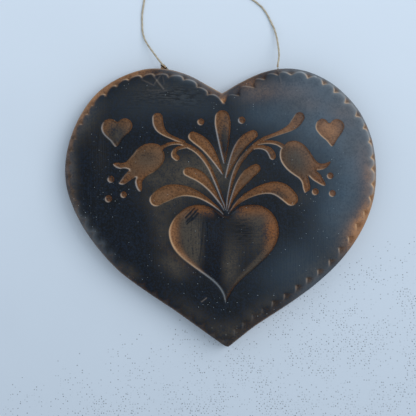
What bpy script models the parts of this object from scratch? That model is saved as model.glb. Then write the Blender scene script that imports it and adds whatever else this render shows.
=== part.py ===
"""Beeswax heart ornament: a poured heart with a sunk folk pattern and a thread loop cast into its top.

Metres, +Z up. The heart lies on its flat back at z = 0, its pattern faces +Z and the loop lies towards +Y.
"""

import math

import bmesh
import bpy
from mathutils import Vector

MM = 0.001

# Heart
HEART_WIDTH = 0.115  # across the front edge
HEART_HEIGHT = 0.1029  # lobes to tip, along the front edge
THICKNESS = 0.009  # back to face
SIDE_DRAFT = 0.0007  # how much wider the back is than the front, on each side
FRONT_EDGE_RADIUS = 0.0005
BACK_EDGE_RADIUS = 0.0004

# Scalloped border
BAND_DROP = 0.0008  # how far the outer band lies below the face
BAND_WIDTH = 0.0026  # front edge to the points between the lobes
LOBE_RISE = 0.0014
LOBE_PITCH = 0.0053
LOBE_POINTS = 5
LOBE_FULLNESS = 0.8  # below 1 a lobe is blunter than a half wave
BAND_WALL_LEAN = 0.0003

# Sunk pattern
RELIEF_DEPTH = 0.0012  # petals, hearts, dots and the bells of the tulips
LEAF_DEPTH = 0.0010
STEM_DEPTH = 0.0009
WALL_LEAN = 0.0004  # how far a wall leans in on its way to the floor
FLOOR_RISE = 0.0006  # how far the middle of a wide floor swells up again
CUTTER_CLEAR = 0.0006  # how far a cutter stands above the face
FLOOR_SWELL = [(0.72, 0.6), (0.4, 0.92), (0.1, 1.0)]  # shares of the way out and of the rise
HEAD_ANGLES = (18, 40, 65)  # degrees round the rounded start of a stroke
TAIL_ANGLES = (55, 25)  # degrees round its end

# Thread and the channels that hold its ends
CORD_DIAMETER = 0.00075
CORD_DEPTH = 0.0030  # axis of the cast-in ends below the face
CORD_CLEARANCE = 0.0003  # thread to wax
EXIT_GAP = 0.0004  # face of a cast-in end, at the side of the heart, to the first face of the free thread
REST_CLEARANCE = 0.00002  # underside of the free thread above the surface that the heart lies on
BURIED_LENGTH = 0.0085
KNOT_DIAMETER = 0.0022
KNOT_PROFILE = [(0.15, 0.62), (0.5, 0.92), (1.0, 1.0), (1.5, 0.88), (1.9, 0.5)]  # in knot radii

OUTLINE_STEPS = 4  # points of the outline in each span between two drawn ones
ROUND_MIDDLE = 0.3  # how far the middle of a rounded edge is set back, in radii
CROSSED_SHARE = 0.97  # an inner point nearer than this share of the band width has crossed over at a corner

# Outline of the front edge in millimetres, clockwise from the notch, about the middle of its own box
RIGHT_HALF = [
    (0.6, 42.1), (7.6, 46.2), (15.3, 49.7), (23.2, 51.3), (31.2, 50.5), (39.3, 47.1), (45.8, 42.1),
    (51.5, 35.4), (55.4, 27.3), (57.3, 18.7), (57.6, 9.4), (55.9, 0.0), (51.6, -9.8), (44.7, -19.4),
    (35.6, -28.1), (25.3, -35.7), (13.5, -43.4), (6.2, -49.0), (3.6, -51.1), (2.6, -51.55),
]
LEFT_HALF = [
    (2.6, -51.55), (1.5, -51.1), (-2.5, -48.4), (-7.4, -44.9), (-16.8, -38.2), (-27.6, -31.0), (-37.5, -23.6),
    (-45.8, -14.6), (-52.3, -4.8), (-56.5, 5.5), (-57.5, 14.6), (-55.9, 24.5), (-51.9, 33.9),
    (-46.1, 41.8), (-38.3, 47.4), (-28.8, 50.9), (-20.2, 51.1), (-12.0, 48.9), (-4.4, 44.9), (0.6, 42.1),
]

# Sunk strokes in millimetres: x, y and half width along the middle, from the round head to the fine tail
PETALS = {
    "centre_petal": [
        (0.65, 33.1, 2.73), (0.8, 30.9, 2.98), (0.95, 27.9, 2.63), (1.1, 24.9, 2.18),
        (1.25, 21.4, 1.53), (1.35, 18.5, 0.93), (1.4, 16.5, 0.43),
    ],
    "upper_petal_left": [
        (-10.15, 26.1, 1.83), (-8.35, 25.0, 2.13), (-6.15, 23.3, 2.13), (-4.15, 21.0, 1.88),
        (-2.35, 18.2, 1.43), (-0.75, 15.4, 0.98), (0.75, 12.5, 0.48),
    ],
    "upper_petal_right": [
        (12.05, 26.8, 1.73), (10.45, 25.8, 2.03), (8.55, 24.2, 2.08), (6.85, 22.0, 1.93),
        (5.25, 19.1, 1.58), (3.85, 15.9, 1.13), (2.75, 13.1, 0.73), (2.05, 11.1, 0.43),
    ],
    "middle_petal_left": [
        (-12.15, 13.1, 1.73), (-10.35, 12.6, 2.08), (-8.15, 11.6, 2.13), (-6.15, 10.0, 1.88),
        (-4.35, 8.0, 1.48), (-2.65, 5.7, 1.08), (-0.95, 3.1, 0.73), (0.65, 0.8, 0.43),
    ],
    "middle_petal_right": [
        (13.05, 14.3, 1.73), (11.65, 13.3, 2.03), (9.85, 11.7, 2.13), (8.05, 9.6, 1.88),
        (6.45, 7.3, 1.43), (5.05, 4.7, 0.98), (3.95, 2.3, 0.63), (3.25, 0.7, 0.43),
    ],
    "lower_petal_left": [
        (-23.75, 2.8, 2.53), (-21.95, 4.1, 2.88), (-19.65, 5.2, 2.98), (-17.15, 5.9, 2.63),
        (-14.15, 6.1, 2.13), (-11.15, 5.6, 1.68), (-8.15, 4.5, 1.23), (-5.15, 2.8, 0.88),
        (-2.65, 1.0, 0.63), (0.05, -1.5, 0.43),
    ],
    "lower_petal_right": [
        (26.15, 3.1, 2.58), (24.35, 4.9, 2.83), (22.15, 6.4, 2.78), (19.65, 7.1, 2.43),
        (16.85, 6.9, 1.98), (13.85, 6.1, 1.63), (10.85, 4.8, 1.33), (8.35, 3.3, 1.03),
        (6.15, 1.5, 0.73), (4.15, -0.8, 0.43),
    ],
}
STEMS = {
    "comma_left": [
        (-23.25, 32.9, 1.98), (-23.05, 30.9, 1.98), (-22.25, 29.0, 1.63), (-20.65, 27.3, 1.08),
        (-18.45, 26.0, 0.78), (-16.15, 25.0, 0.73), (-13.65, 24.0, 0.73),
    ],
    "comma_right": [
        (29.15, 33.2, 1.98), (27.95, 31.4, 1.98), (26.35, 29.8, 1.58), (24.15, 28.5, 1.13),
        (21.35, 27.3, 0.83), (18.35, 26.2, 0.73), (15.35, 24.9, 0.73), (12.45, 22.9, 0.73),
    ],
    "stem_left": [
        (-13.75, 23.3, 0.83), (-11.95, 22.5, 0.88), (-9.95, 21.5, 0.88), (-7.95, 19.9, 0.88),
        (-5.95, 17.6, 0.83), (-4.05, 14.6, 0.78), (-2.35, 10.9, 0.73), (-0.75, 6.9, 0.63),
        (0.45, 3.7, 0.53), (1.55, 1.1, 0.43),
    ],
    "stem_right": [
        (13.05, 23.1, 0.83), (10.85, 21.1, 0.88), (8.85, 19.0, 0.88), (7.05, 16.6, 0.88),
        (5.55, 13.6, 0.83), (4.25, 9.9, 0.73), (3.45, 6.4, 0.63), (2.85, 3.4, 0.53),
        (2.45, 1.1, 0.43),
    ],
    "curl_left": [
        (-16.15, 18.2, 1.13), (-17.15, 19.1, 1.08), (-17.15, 20.4, 0.88), (-16.15, 21.5, 0.78),
        (-14.55, 22.1, 0.73), (-12.75, 22.4, 0.68),
    ],
    "curl_right": [
        (19.25, 18.7, 1.23), (18.75, 20.0, 1.33), (17.75, 21.2, 1.13), (16.05, 22.0, 0.88),
        (14.05, 22.2, 0.73), (12.25, 21.9, 0.68),
    ],
    "tulip_stem_left": [
        (-22.55, 21.1, 0.93), (-20.75, 22.5, 0.73), (-18.65, 23.4, 0.63), (-16.15, 23.7, 0.63),
        (-13.55, 23.4, 0.63),
    ],
    "tulip_stem_right": [
        (23.45, 22.1, 0.93), (21.35, 23.4, 0.78), (18.85, 24.0, 0.73), (16.35, 24.0, 0.68),
        (13.75, 23.5, 0.63),
    ],
}
TULIPS = {
    "tulip_left_bell": [
        (-24.2, 19.9, 3.75), (-26.45, 18.3, 4.63), (-28.75, 16.4, 4.53), (-31.15, 14.5, 3.53),
        (-33.35, 12.5, 2.43), (-35.15, 10.7, 1.63), (-36.55, 9.3, 1.03),
    ],
    "tulip_left_outer_leaf": [
        (-38.85, 15.5, 0.88), (-36.75, 15.2, 1.08), (-34.35, 16.0, 1.43), (-31.95, 17.7, 1.73),
        (-29.55, 19.3, 1.73),
    ],
    "tulip_left_inner_leaf": [
        (-30.25, 6.9, 1.03), (-30.45, 8.9, 1.28), (-29.35, 11.1, 1.63), (-27.15, 12.9, 1.83),
        (-24.75, 14.7, 1.83),
    ],
    "tulip_right_bell": [
        (25.5, 20.8, 3.8), (27.65, 18.9, 4.83), (29.85, 16.9, 4.73), (32.15, 14.8, 3.53),
        (34.35, 12.5, 2.33), (36.25, 10.5, 1.53), (37.75, 8.8, 0.98),
    ],
    "tulip_right_outer_leaf": [
        (39.75, 16.1, 0.83), (37.85, 15.3, 1.08), (35.25, 15.5, 1.43), (32.85, 17.3, 1.73),
        (30.45, 19.3, 1.73),
    ],
    "tulip_right_inner_leaf": [
        (31.65, 6.4, 1.13), (31.35, 8.5, 1.48), (30.25, 10.9, 1.73), (28.05, 12.9, 1.83),
        (25.65, 14.9, 1.83),
    ],
}

# Sunk hearts in millimetres: the middle that their floor swells to, and the outline
HEARTS = {
    "vase_heart": (
        (1.0, -9.5),
        [
            (2.3, -2.9), (4.5, -1.3), (7.0, 0.2), (10.0, 0.9), (13.0, 1.0), (16.0, 0.2), (18.8, -1.8),
            (20.7, -4.7), (21.6, -8.0), (21.4, -11.0), (20.2, -14.0), (18.3, -17.0), (15.5, -20.0),
            (12.3, -22.8), (9.0, -25.5), (6.0, -28.5), (3.8, -31.5), (2.0, -35.2), (0.8, -32.0),
            (-1.0, -29.2), (-3.5, -26.8), (-7.0, -24.2), (-10.5, -21.7), (-14.0, -19.0), (-16.8, -16.0),
            (-18.4, -13.0), (-19.1, -10.0), (-18.9, -7.5), (-17.5, -4.5), (-15.0, -1.8), (-12.0, 0.2),
            (-8.5, 1.0), (-5.0, 0.5), (-2.0, -0.8), (0.3, -2.2),
        ],
    ),
    "small_heart_left": (
        (-38.0, 28.5),
        [
            (-38.1, 31.5), (-36.7, 32.5), (-34.8, 32.8), (-33.1, 31.8), (-32.5, 29.9), (-33.5, 27.8),
            (-36.1, 25.4), (-38.5, 22.2), (-40.8, 24.5), (-43.2, 26.8), (-44.1, 29.2), (-43.3, 31.5),
            (-41.4, 32.6), (-39.4, 32.3),
        ],
    ),
    "small_heart_right": (
        (40.3, 28.6),
        [
            (40.1, 31.1), (41.5, 32.3), (43.3, 32.6), (45.1, 31.6), (45.8, 29.7), (45.0, 27.5),
            (43.3, 25.2), (41.3, 22.3), (39.1, 24.5), (36.7, 26.6), (35.1, 29.0), (35.4, 31.4),
            (37.0, 32.7), (38.8, 32.4),
        ],
    ),
}

# Sunk dots in millimetres: x, y and radius
DOTS = [
    (-7.3, 31.5, 1.35), (7.8, 32.1, 1.4), (-40.5, 10.3, 1.35), (-41.4, 3.1, 1.4), (-35.8, 4.6, 1.25),
    (40.5, 11.6, 1.3), (35.0, 5.7, 1.35), (41.3, 5.1, 1.35),
]

# Thread ends in millimetres: where the axis meets the front outline, and the way it runs into the wax
EXITS = {"left": ((-20.0, 51.3), (0.66, -0.75)), "right": ((21.4, 51.35), (0.06, -1.0))}

# Middle of the free thread in millimetres, from its left exit to its right one
FREE_ROUTE = [
    (-21.8, 53.4, 5.2), (-23.7, 55.9, 4.3), (-25.6, 58.6, 3.1), (-27.2, 60.9, 2.0), (-28.4, 63.1, 1.2),
    (-29.2, 65.8, 0.6), (-29.4, 68.6, 0.4), (-29.4, 72.8, 0.4), (-28.6, 78.1, 0.4), (-28.3, 84.0, 0.4),
    (-29.0, 91.0, 0.4), (-28.3, 98.0, 0.4), (-24.0, 103.4, 0.4), (-17.0, 104.3, 0.4), (-10.4, 100.0, 0.4),
    (-4.4, 93.2, 0.4), (1.8, 86.4, 0.4), (8.4, 80.9, 0.4), (15.7, 75.4, 0.4),
    (19.2, 69.6, 0.6), (20.9, 65.2, 1.5), (21.7, 60.2, 3.3), (21.9, 56.3, 4.9),
]

WAX_BLACK = (0.012, 0.016, 0.022, 1.0)
THREAD_STRAW = (0.50, 0.40, 0.26, 1.0)


def clear_scene():
    for thing in list(bpy.data.objects):
        bpy.data.objects.remove(thing, do_unlink=True)


def material(name, colour, roughness):
    made = bpy.data.materials.new(name)
    made.use_nodes = True
    shader = made.node_tree.nodes["Principled BSDF"]
    shader.inputs["Base Color"].default_value = colour
    shader.inputs["Roughness"].default_value = roughness
    made.diffuse_color = colour
    return made


def object_from(mesh_builder, name, finish=None):
    """One object from a bmesh, with its faces pointing out."""
    bmesh.ops.recalc_face_normals(mesh_builder, faces=mesh_builder.faces)
    mesh = bpy.data.meshes.new(name)
    mesh_builder.to_mesh(mesh)
    mesh_builder.free()
    made = bpy.data.objects.new(name, mesh)
    bpy.context.scene.collection.objects.link(made)
    if finish is not None:
        mesh.materials.append(finish)
    return made


def smooth_path(points, steps, closed=False):
    """Points along a smooth curve through the given ones, with the given steps in each span."""
    count = len(points)
    given = [Vector(p) for p in points]
    path = []
    for i in range(count if closed else count - 1):
        if closed:
            before, a, b, after = (given[(i + k) % count] for k in (-1, 0, 1, 2))
        else:
            a, b = given[i], given[i + 1]
            before = given[i - 1] if i > 0 else a + (a - b)
            after = given[i + 2] if i + 2 < count else b + (b - a)
        for k in range(steps):
            t = k / steps
            path.append(
                0.5
                * (
                    2 * a
                    + (b - before) * t
                    + (2 * before - 5 * a + 4 * b - after) * t**2
                    + (3 * a - before - 3 * b + after) * t**3
                )
            )
    if not closed:
        path.append(given[-1])
    return path


def box_of(points):
    xs = [p[0] for p in points]
    ys = [p[1] for p in points]
    return min(xs), max(xs), min(ys), max(ys)


def inward_normals(points):
    """Normals into a closed clockwise outline, longer at a corner so that both of its sides shift alike."""
    normals = []
    count = len(points)
    for i, here in enumerate(points):
        into = (here - points[i - 1]).normalized()
        out = (points[(i + 1) % count] - here).normalized()
        half = (into + out).normalized()
        normal = Vector((half.y, -half.x))
        normals.append(normal / max(0.35, normal.dot(Vector((into.y, -into.x)))))
    return normals


def shifted(points, distance):
    """The outline moved inwards by a distance, or outwards where it is negative."""
    return [p + n * distance for p, n in zip(points, inward_normals(points))]


def plan_frame():
    """The two stretches from drawn millimetres to metres, and the middle of the heart's back in metres."""
    drawn = smooth_path(RIGHT_HALF, OUTLINE_STEPS)[:-1] + smooth_path(LEFT_HALF, OUTLINE_STEPS)[:-1]
    left, right, bottom, top = box_of(drawn)
    stretch_x = HEART_WIDTH / (right - left)
    stretch_y = HEART_HEIGHT / (top - bottom)
    back = shifted([Vector((p.x * stretch_x, p.y * stretch_y)) for p in drawn], -SIDE_DRAFT)
    left, right, bottom, top = box_of(back)
    return stretch_x, stretch_y, (left + right) / 2, (bottom + top) / 2


STRETCH_X, STRETCH_Y, MIDDLE_X, MIDDLE_Y = plan_frame()
STRETCH = math.sqrt(STRETCH_X * STRETCH_Y)


def plan(x, y):
    """A point of the drawing, in metres."""
    return Vector((x * STRETCH_X - MIDDLE_X, y * STRETCH_Y - MIDDLE_Y))


def outline_halves():
    """The front edge as two runs, notch to tip on the right and tip to notch on the left."""
    return [[plan(*p) for p in smooth_path(half, OUTLINE_STEPS)] for half in (RIGHT_HALF, LEFT_HALF)]


def distance_to_run(point, run):
    nearest = 1.0
    for a, b in zip(run, run[1:]):
        along = b - a
        t = max(0.0, min(1.0, (point - a).dot(along) / along.length_squared))
        nearest = min(nearest, (point - a - along * t).length)
    return nearest


def evenly_spaced(run, count):
    """The run read at count + 1 points, the same length apart."""
    lengths = [0.0]
    for a, b in zip(run, run[1:]):
        lengths.append(lengths[-1] + (b - a).length)
    spaced = []
    span = 0
    for k in range(count + 1):
        wanted = lengths[-1] * k / count
        while span < len(run) - 2 and lengths[span + 1] < wanted:
            span += 1
        t = (wanted - lengths[span]) / (lengths[span + 1] - lengths[span])
        spaced.append(run[span].lerp(run[span + 1], t))
    return spaced


def scalloped_edge():
    """The edge of the raised face: lobes that swell outwards, with a point between each two."""
    right, left = outline_halves()
    whole = right[:-1] + left[:-1]
    tip = len(right) - 1
    inner = shifted(whole, BAND_WIDTH)
    ring = whole + whole[:1]
    least = CROSSED_SHARE * BAND_WIDTH
    clear = [i for i, p in enumerate(inner) if i in (0, tip) or distance_to_run(p, ring) > least]
    right_run = [inner[i] for i in clear if i <= tip]
    left_run = [inner[i] for i in clear if i >= tip] + [inner[0]]
    edge = []
    for run in (right_run, left_run):
        length = sum((b - a).length for a, b in zip(run, run[1:]))
        lobes = round(length / LOBE_PITCH)
        spaced = evenly_spaced(run, lobes * LOBE_POINTS)
        for k in range(len(spaced) - 1):
            along = (spaced[k + 1] - spaced[max(k - 1, 0)]).normalized()
            outwards = Vector((-along.y, along.x))
            swell = math.sin(math.pi * (k % LOBE_POINTS) / LOBE_POINTS) ** LOBE_FULLNESS
            edge.append(spaced[k] + outwards * LOBE_RISE * swell)
    return edge


def stacked_rings(rings, name, finish=None):
    """A closed solid through flat rings of as many points each, given as (points, height)."""
    builder = bmesh.new()
    loops = [[builder.verts.new((p.x, p.y, height)) for p in points] for points, height in rings]
    for low, high in zip(loops, loops[1:]):
        for i in range(len(low)):
            builder.faces.new((low[i - 1], low[i], high[i], high[i - 1]))
    builder.faces.new(loops[0])
    builder.faces.new(loops[-1])
    return object_from(builder, name, finish)


def heart_blank(finish):
    """The slab of wax up to the outer band: a rounded back edge, a leaning side and a rounded front edge."""
    right, left = outline_halves()
    front = right[:-1] + left[:-1]
    band_top = THICKNESS - BAND_DROP
    round_start = band_top - FRONT_EDGE_RADIUS
    slant = SIDE_DRAFT / THICKNESS
    rings = [
        (shifted(front, BACK_EDGE_RADIUS - SIDE_DRAFT), 0.0),
        (shifted(front, ROUND_MIDDLE * BACK_EDGE_RADIUS - SIDE_DRAFT), ROUND_MIDDLE * BACK_EDGE_RADIUS),
        (shifted(front, slant * BACK_EDGE_RADIUS - SIDE_DRAFT), BACK_EDGE_RADIUS),
        (shifted(front, slant * round_start - SIDE_DRAFT), round_start),
        (shifted(front, ROUND_MIDDLE * FRONT_EDGE_RADIUS), band_top - ROUND_MIDDLE * FRONT_EDGE_RADIUS),
        (shifted(front, FRONT_EDGE_RADIUS), band_top),
    ]
    return stacked_rings(rings, "wax_heart", finish)


def raised_face():
    """The face inside the scalloped edge, standing on the slab."""
    edge = scalloped_edge()
    foot = THICKNESS - BAND_DROP
    rings = [(edge, THICKNESS / 2), (edge, foot), (shifted(edge, BAND_WALL_LEAN), THICKNESS)]
    return stacked_rings(rings, "raised_face")


def stroke_rings(points):
    """Middle, way across and half width along a stroke, with a round head and a fine or round tail."""
    path = smooth_path([(*plan(x, y), w * STRETCH) for x, y, w in points], 2)
    middles = [Vector((p.x, p.y)) for p in path]
    widths = [p.z for p in path]
    start = (middles[0] - middles[1]).normalized()
    end = (middles[-1] - middles[-2]).normalized()
    rings = []
    for angle in HEAD_ANGLES:
        turn = math.radians(angle)
        centre = middles[0] + start * widths[0] * math.cos(turn)
        rings.append((centre, -start, widths[0] * math.sin(turn)))
    for i, (middle, width) in enumerate(zip(middles, widths)):
        along = middles[min(i + 1, len(middles) - 1)] - middles[max(i - 1, 0)]
        rings.append((middle, along.normalized(), width))
    for angle in TAIL_ANGLES:
        turn = math.radians(angle)
        centre = middles[-1] + end * widths[-1] * math.cos(turn)
        rings.append((centre, end, widths[-1] * math.sin(turn)))
    return rings


def stroke_cutter(name, points, depth):
    """A sunk stroke: leaning walls and a flat floor, shallower where the stroke is finer than it is deep."""
    builder = bmesh.new()
    loops = []
    for middle, along, width in stroke_rings(points):
        across = Vector((-along.y, along.x))
        sunk = depth * min(1.0, width / depth) ** 0.5
        lean = min(WALL_LEAN, 0.45 * width)
        top = width + lean * CUTTER_CLEAR / sunk
        profile = (
            (-top, THICKNESS + CUTTER_CLEAR),
            (top, THICKNESS + CUTTER_CLEAR),
            (width - lean, THICKNESS - sunk),
            (lean - width, THICKNESS - sunk),
        )
        corners = [(middle + across * side, height) for side, height in profile]
        loops.append([builder.verts.new((p.x, p.y, height)) for p, height in corners])
    for a, b in zip(loops, loops[1:]):
        for i in range(4):
            builder.faces.new((a[i - 1], a[i], b[i], b[i - 1]))
    builder.faces.new(loops[0])
    builder.faces.new(loops[-1])
    return object_from(builder, name)


def heart_cutter(name, middle, outline):
    """A sunk heart: leaning walls and a floor that swells up towards its middle."""
    centre = plan(*middle)
    edge = [plan(*p) for p in smooth_path(outline, 2, closed=True)]
    reach = sum((p - centre).length for p in edge) / len(edge)

    def ring(share, height):
        return [centre + (p - centre) * share for p in edge], height

    floor = THICKNESS - RELIEF_DEPTH
    lean = WALL_LEAN / reach
    rings = [
        ring(1 + lean * CUTTER_CLEAR / RELIEF_DEPTH, THICKNESS + CUTTER_CLEAR),
        ring(1 - lean, floor),
    ]
    rings += [ring(share, floor + rise * FLOOR_RISE) for share, rise in FLOOR_SWELL]
    return stacked_rings(rings, name)


def dot_cutter(number, x, y, radius, sides=14):
    """A sunk dot: a short cone with a rounded end."""
    centre = plan(x, y)
    across = radius * STRETCH
    angles = [k * math.tau / sides for k in range(sides)]

    def ring(reach, height):
        return [centre + Vector((math.cos(a), math.sin(a))) * reach for a in angles], height

    rings = [
        ring(across + WALL_LEAN * CUTTER_CLEAR / RELIEF_DEPTH, THICKNESS + CUTTER_CLEAR),
        ring(across - 0.5 * WALL_LEAN, THICKNESS - 0.5 * RELIEF_DEPTH),
        ring(0.35 * across, THICKNESS - 0.85 * RELIEF_DEPTH),
    ]
    return stacked_rings(rings, f"dot_{number}")


def axis_tube(points, radii, name, finish=None, sides=8):
    """A closed solid of round sections about a bent axis."""
    builder = bmesh.new()
    loops = []
    for i, (here, radius) in enumerate(zip(points, radii)):
        along = (points[min(i + 1, len(points) - 1)] - points[max(i - 1, 0)]).normalized()
        side = along.cross(Vector((0, 0, 1))).normalized()
        up = side.cross(along)
        angles = [math.tau * (k + 0.5) / sides for k in range(sides)]
        loops.append(
            [builder.verts.new(here + (side * math.cos(a) + up * math.sin(a)) * radius) for a in angles]
        )
    for a, b in zip(loops, loops[1:]):
        for i in range(sides):
            builder.faces.new((a[i - 1], a[i], b[i], b[i - 1]))
    builder.faces.new(loops[0])
    builder.faces.new(loops[-1])
    return object_from(builder, name, finish)


def exit_frame(side):
    """Where the thread's axis leaves the leaning side of the heart, and the way it runs inwards."""
    (x, y), inwards = EXITS[side]
    lean_out = SIDE_DRAFT * CORD_DEPTH / THICKNESS
    at_edge = plan(x, y)
    mouth = Vector((at_edge.x, at_edge.y + lean_out, THICKNESS - CORD_DEPTH))
    return mouth, Vector((*inwards, 0)).normalized()


def buried_end(side, finish):
    """The cast-in end of the thread: a straight run and the knot that keeps it from pulling out."""
    mouth, inwards = exit_frame(side)
    thread = CORD_DIAMETER / 2
    knot = KNOT_DIAMETER / 2
    run = BURIED_LENGTH - KNOT_DIAMETER
    stations = [(0.0, thread), (0.5 * run, thread), (run, thread)]
    stations += [(run + along * knot, across * knot) for along, across in KNOT_PROFILE]
    points = [mouth + inwards * along for along, _ in stations]
    return axis_tube(points, [r for _, r in stations], f"cord_end_{side}", finish)


def channel_cutter(side):
    """The room round the cast-in end: open at the side of the heart, wider round the knot."""
    mouth, inwards = exit_frame(side)
    radius = CORD_DIAMETER / 2 + CORD_CLEARANCE
    pocket = KNOT_DIAMETER / 2 + CORD_CLEARANCE
    run = BURIED_LENGTH - KNOT_DIAMETER - CORD_CLEARANCE
    end = BURIED_LENGTH + CORD_CLEARANCE
    stations = [(-2 * radius, radius), (run + radius - pocket, radius), (run, pocket), (end, pocket)]
    points = [mouth + inwards * along for along, _ in stations]
    return axis_tube(points, [r for _, r in stations], f"channel_{side}", sides=12)


def free_cord(finish):
    """The free thread between the two exits, as one smooth run that comes down onto the surface."""
    (left_mouth, left_in), (right_mouth, right_in) = exit_frame("left"), exit_frame("right")
    lowest = CORD_DIAMETER / 2 + REST_CLEARANCE
    start = [left_mouth - left_in * EXIT_GAP, left_mouth - left_in * (EXIT_GAP + CORD_DIAMETER)]
    end = [right_mouth - right_in * (EXIT_GAP + CORD_DIAMETER), right_mouth - right_in * EXIT_GAP]
    middle = [Vector((*plan(x, y), max(lowest, z * MM))) for x, y, z in FREE_ROUTE]
    path = smooth_path(start + middle + end, 3)
    curve = bpy.data.curves.new("hanging_cord", "CURVE")
    curve.dimensions = "3D"
    curve.bevel_depth = CORD_DIAMETER / 2
    curve.bevel_resolution = 2
    curve.use_fill_caps = True
    spline = curve.splines.new("POLY")
    spline.points.add(len(path) - 1)
    for slot, place in zip(spline.points, path):
        slot.co = (*place, 1.0)
    curve.materials.append(finish)
    made = bpy.data.objects.new("hanging_cord", curve)
    bpy.context.scene.collection.objects.link(made)
    return made


def boolean(target, tool, operation):
    step = target.modifiers.new(tool.name, "BOOLEAN")
    step.operation = operation
    step.object = tool
    step.solver = "EXACT"
    tool.hide_render = True
    tool.display_type = "WIRE"


def wax_heart(finish):
    body = heart_blank(finish)
    boolean(body, raised_face(), "UNION")
    for name, points in PETALS.items():
        boolean(body, stroke_cutter(name, points, RELIEF_DEPTH), "DIFFERENCE")
    for name, points in STEMS.items():
        boolean(body, stroke_cutter(name, points, STEM_DEPTH), "DIFFERENCE")
    for name, points in TULIPS.items():
        depth = RELIEF_DEPTH if name.endswith("bell") else LEAF_DEPTH
        boolean(body, stroke_cutter(name, points, depth), "DIFFERENCE")
    for name, (middle, outline) in HEARTS.items():
        boolean(body, heart_cutter(name, middle, outline), "DIFFERENCE")
    for number, (x, y, radius) in enumerate(DOTS, 1):
        boolean(body, dot_cutter(number, x, y, radius), "DIFFERENCE")
    for side in EXITS:
        boolean(body, channel_cutter(side), "DIFFERENCE")
    return body


clear_scene()
wax = material("beeswax_blackened", WAX_BLACK, 0.45)
thread = material("thread_natural", THREAD_STRAW, 0.85)
wax_heart(wax)
for exit_side in EXITS:
    buried_end(exit_side, thread)
free_cord(thread)
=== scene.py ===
import math

import bpy
import numpy as np
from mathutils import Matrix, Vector, geometry, kdtree


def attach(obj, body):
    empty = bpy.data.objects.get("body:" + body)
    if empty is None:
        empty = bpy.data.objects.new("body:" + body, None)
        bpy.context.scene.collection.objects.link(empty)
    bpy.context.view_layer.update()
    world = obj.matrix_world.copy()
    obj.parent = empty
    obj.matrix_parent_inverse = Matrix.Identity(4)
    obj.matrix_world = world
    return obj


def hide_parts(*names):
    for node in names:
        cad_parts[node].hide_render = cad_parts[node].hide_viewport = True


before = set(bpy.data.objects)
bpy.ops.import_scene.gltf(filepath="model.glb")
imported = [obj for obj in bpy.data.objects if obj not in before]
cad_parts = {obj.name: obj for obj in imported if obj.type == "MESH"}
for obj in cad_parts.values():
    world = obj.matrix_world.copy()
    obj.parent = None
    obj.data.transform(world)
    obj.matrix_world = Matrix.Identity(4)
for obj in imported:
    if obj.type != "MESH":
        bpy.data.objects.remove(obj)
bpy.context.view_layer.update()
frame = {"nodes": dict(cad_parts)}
bpy.ops.object.select_all(action="DESELECT")
print("frame loaded:", ", ".join(frame["nodes"]))

mm = 0.001
far = 99.0

# materials


def fromHex(code):
    # an sRGB hex colour as linear values for a shader socket
    shares = [int(code[i : i + 2], 16) / 255 for i in (1, 3, 5)]
    return [s / 12.92 if s <= 0.04045 else ((s + 0.055) / 1.055) ** 2.4 for s in shares] + [1.0]


def addNode(tree, kind, inputs=(), output=None, **settings):
    # one node with its settings, and its values and links by name or in order; gives the output to read,
    # the first one unless another is named
    node = tree.nodes.new("ShaderNode" + kind)
    for name, value in settings.items():
        setattr(node, name, value)
    if isinstance(inputs, dict):
        pairs = [(node.inputs[name], value) for name, value in inputs.items()]
    else:
        pairs = zip([socket for socket in node.inputs if socket.enabled], inputs)
    for socket, value in pairs:
        if isinstance(value, bpy.types.NodeSocket):
            tree.links.new(value, socket)
        else:
            socket.default_value = fromHex(value) if isinstance(value, str) else value
    return node.outputs[output] if output else next((s for s in node.outputs if s.enabled), None)


def newMaterial(name):
    made = bpy.data.materials.new(name)
    made.use_nodes = True
    made.node_tree.nodes.clear()
    return made, made.node_tree


def addSpecks(tree, place, cell, likely, edge, full, power, **settings):
    # specks, at most one in a cell: cell in mm, share of the cells that have one, where a speck ends and
    # where it is full, as shares of a cell, and how much rarer the strong ones are
    spread = addNode(tree, "Mapping", {"Vector": place, "Scale": [1 / (cell * mm)] * 3})
    cells = addNode(tree, "TexVoronoi", {"Vector": spread, "Scale": 1.0}, **settings).node.outputs
    chance = addNode(tree, "SeparateColor", [cells["Color"]]).node.outputs
    chosen = addNode(tree, "Math", [chance[0], likely], operation="LESS_THAN")
    speck = addNode(tree, "MapRange", [cells["Distance"], edge, full])
    speck = addNode(tree, "Math", [speck, chosen], operation="MULTIPLY")
    strength = addNode(tree, "Math", [chance[1], power], operation="POWER")
    return addNode(tree, "Math", [speck, strength], operation="MULTIPLY")


# meshes


def paint(mesh, name, values, kind="FLOAT"):
    # a value at every vertex, for a material to read
    layer = mesh.attributes.new(name, kind, "POINT")
    layer.data.foreach_set("value" if kind == "FLOAT" else "vector", np.array(values, float).ravel())


def openMesh(name, mesh):
    # the object of a mesh, alone in edit mode with all of it selected
    made = bpy.data.objects.new(name, mesh)
    bpy.context.scene.collection.objects.link(made)
    bpy.ops.object.select_all(action="DESELECT")
    bpy.context.view_layer.objects.active = made
    made.select_set(True)
    bpy.ops.object.mode_set(mode="EDIT")
    bpy.ops.mesh.select_all(action="SELECT")
    return made


def selectRim():
    # the open edge of the mesh, the only one that it has until it is closed
    bpy.ops.mesh.select_all(action="DESELECT")
    bpy.ops.mesh.select_non_manifold(
        extend=False, use_wire=False, use_boundary=True, use_multi_face=False, use_non_contiguous=False,
        use_verts=False,
    )


def drawDown(height, ratio, **pivot):
    # the open edge is drawn down by a height in mm and resized
    selectRim()
    bpy.ops.mesh.extrude_region_move(TRANSFORM_OT_translate={"value": (0, 0, -height * mm)})
    bpy.ops.transform.resize(value=(ratio, ratio, 1), **pivot)


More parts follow.
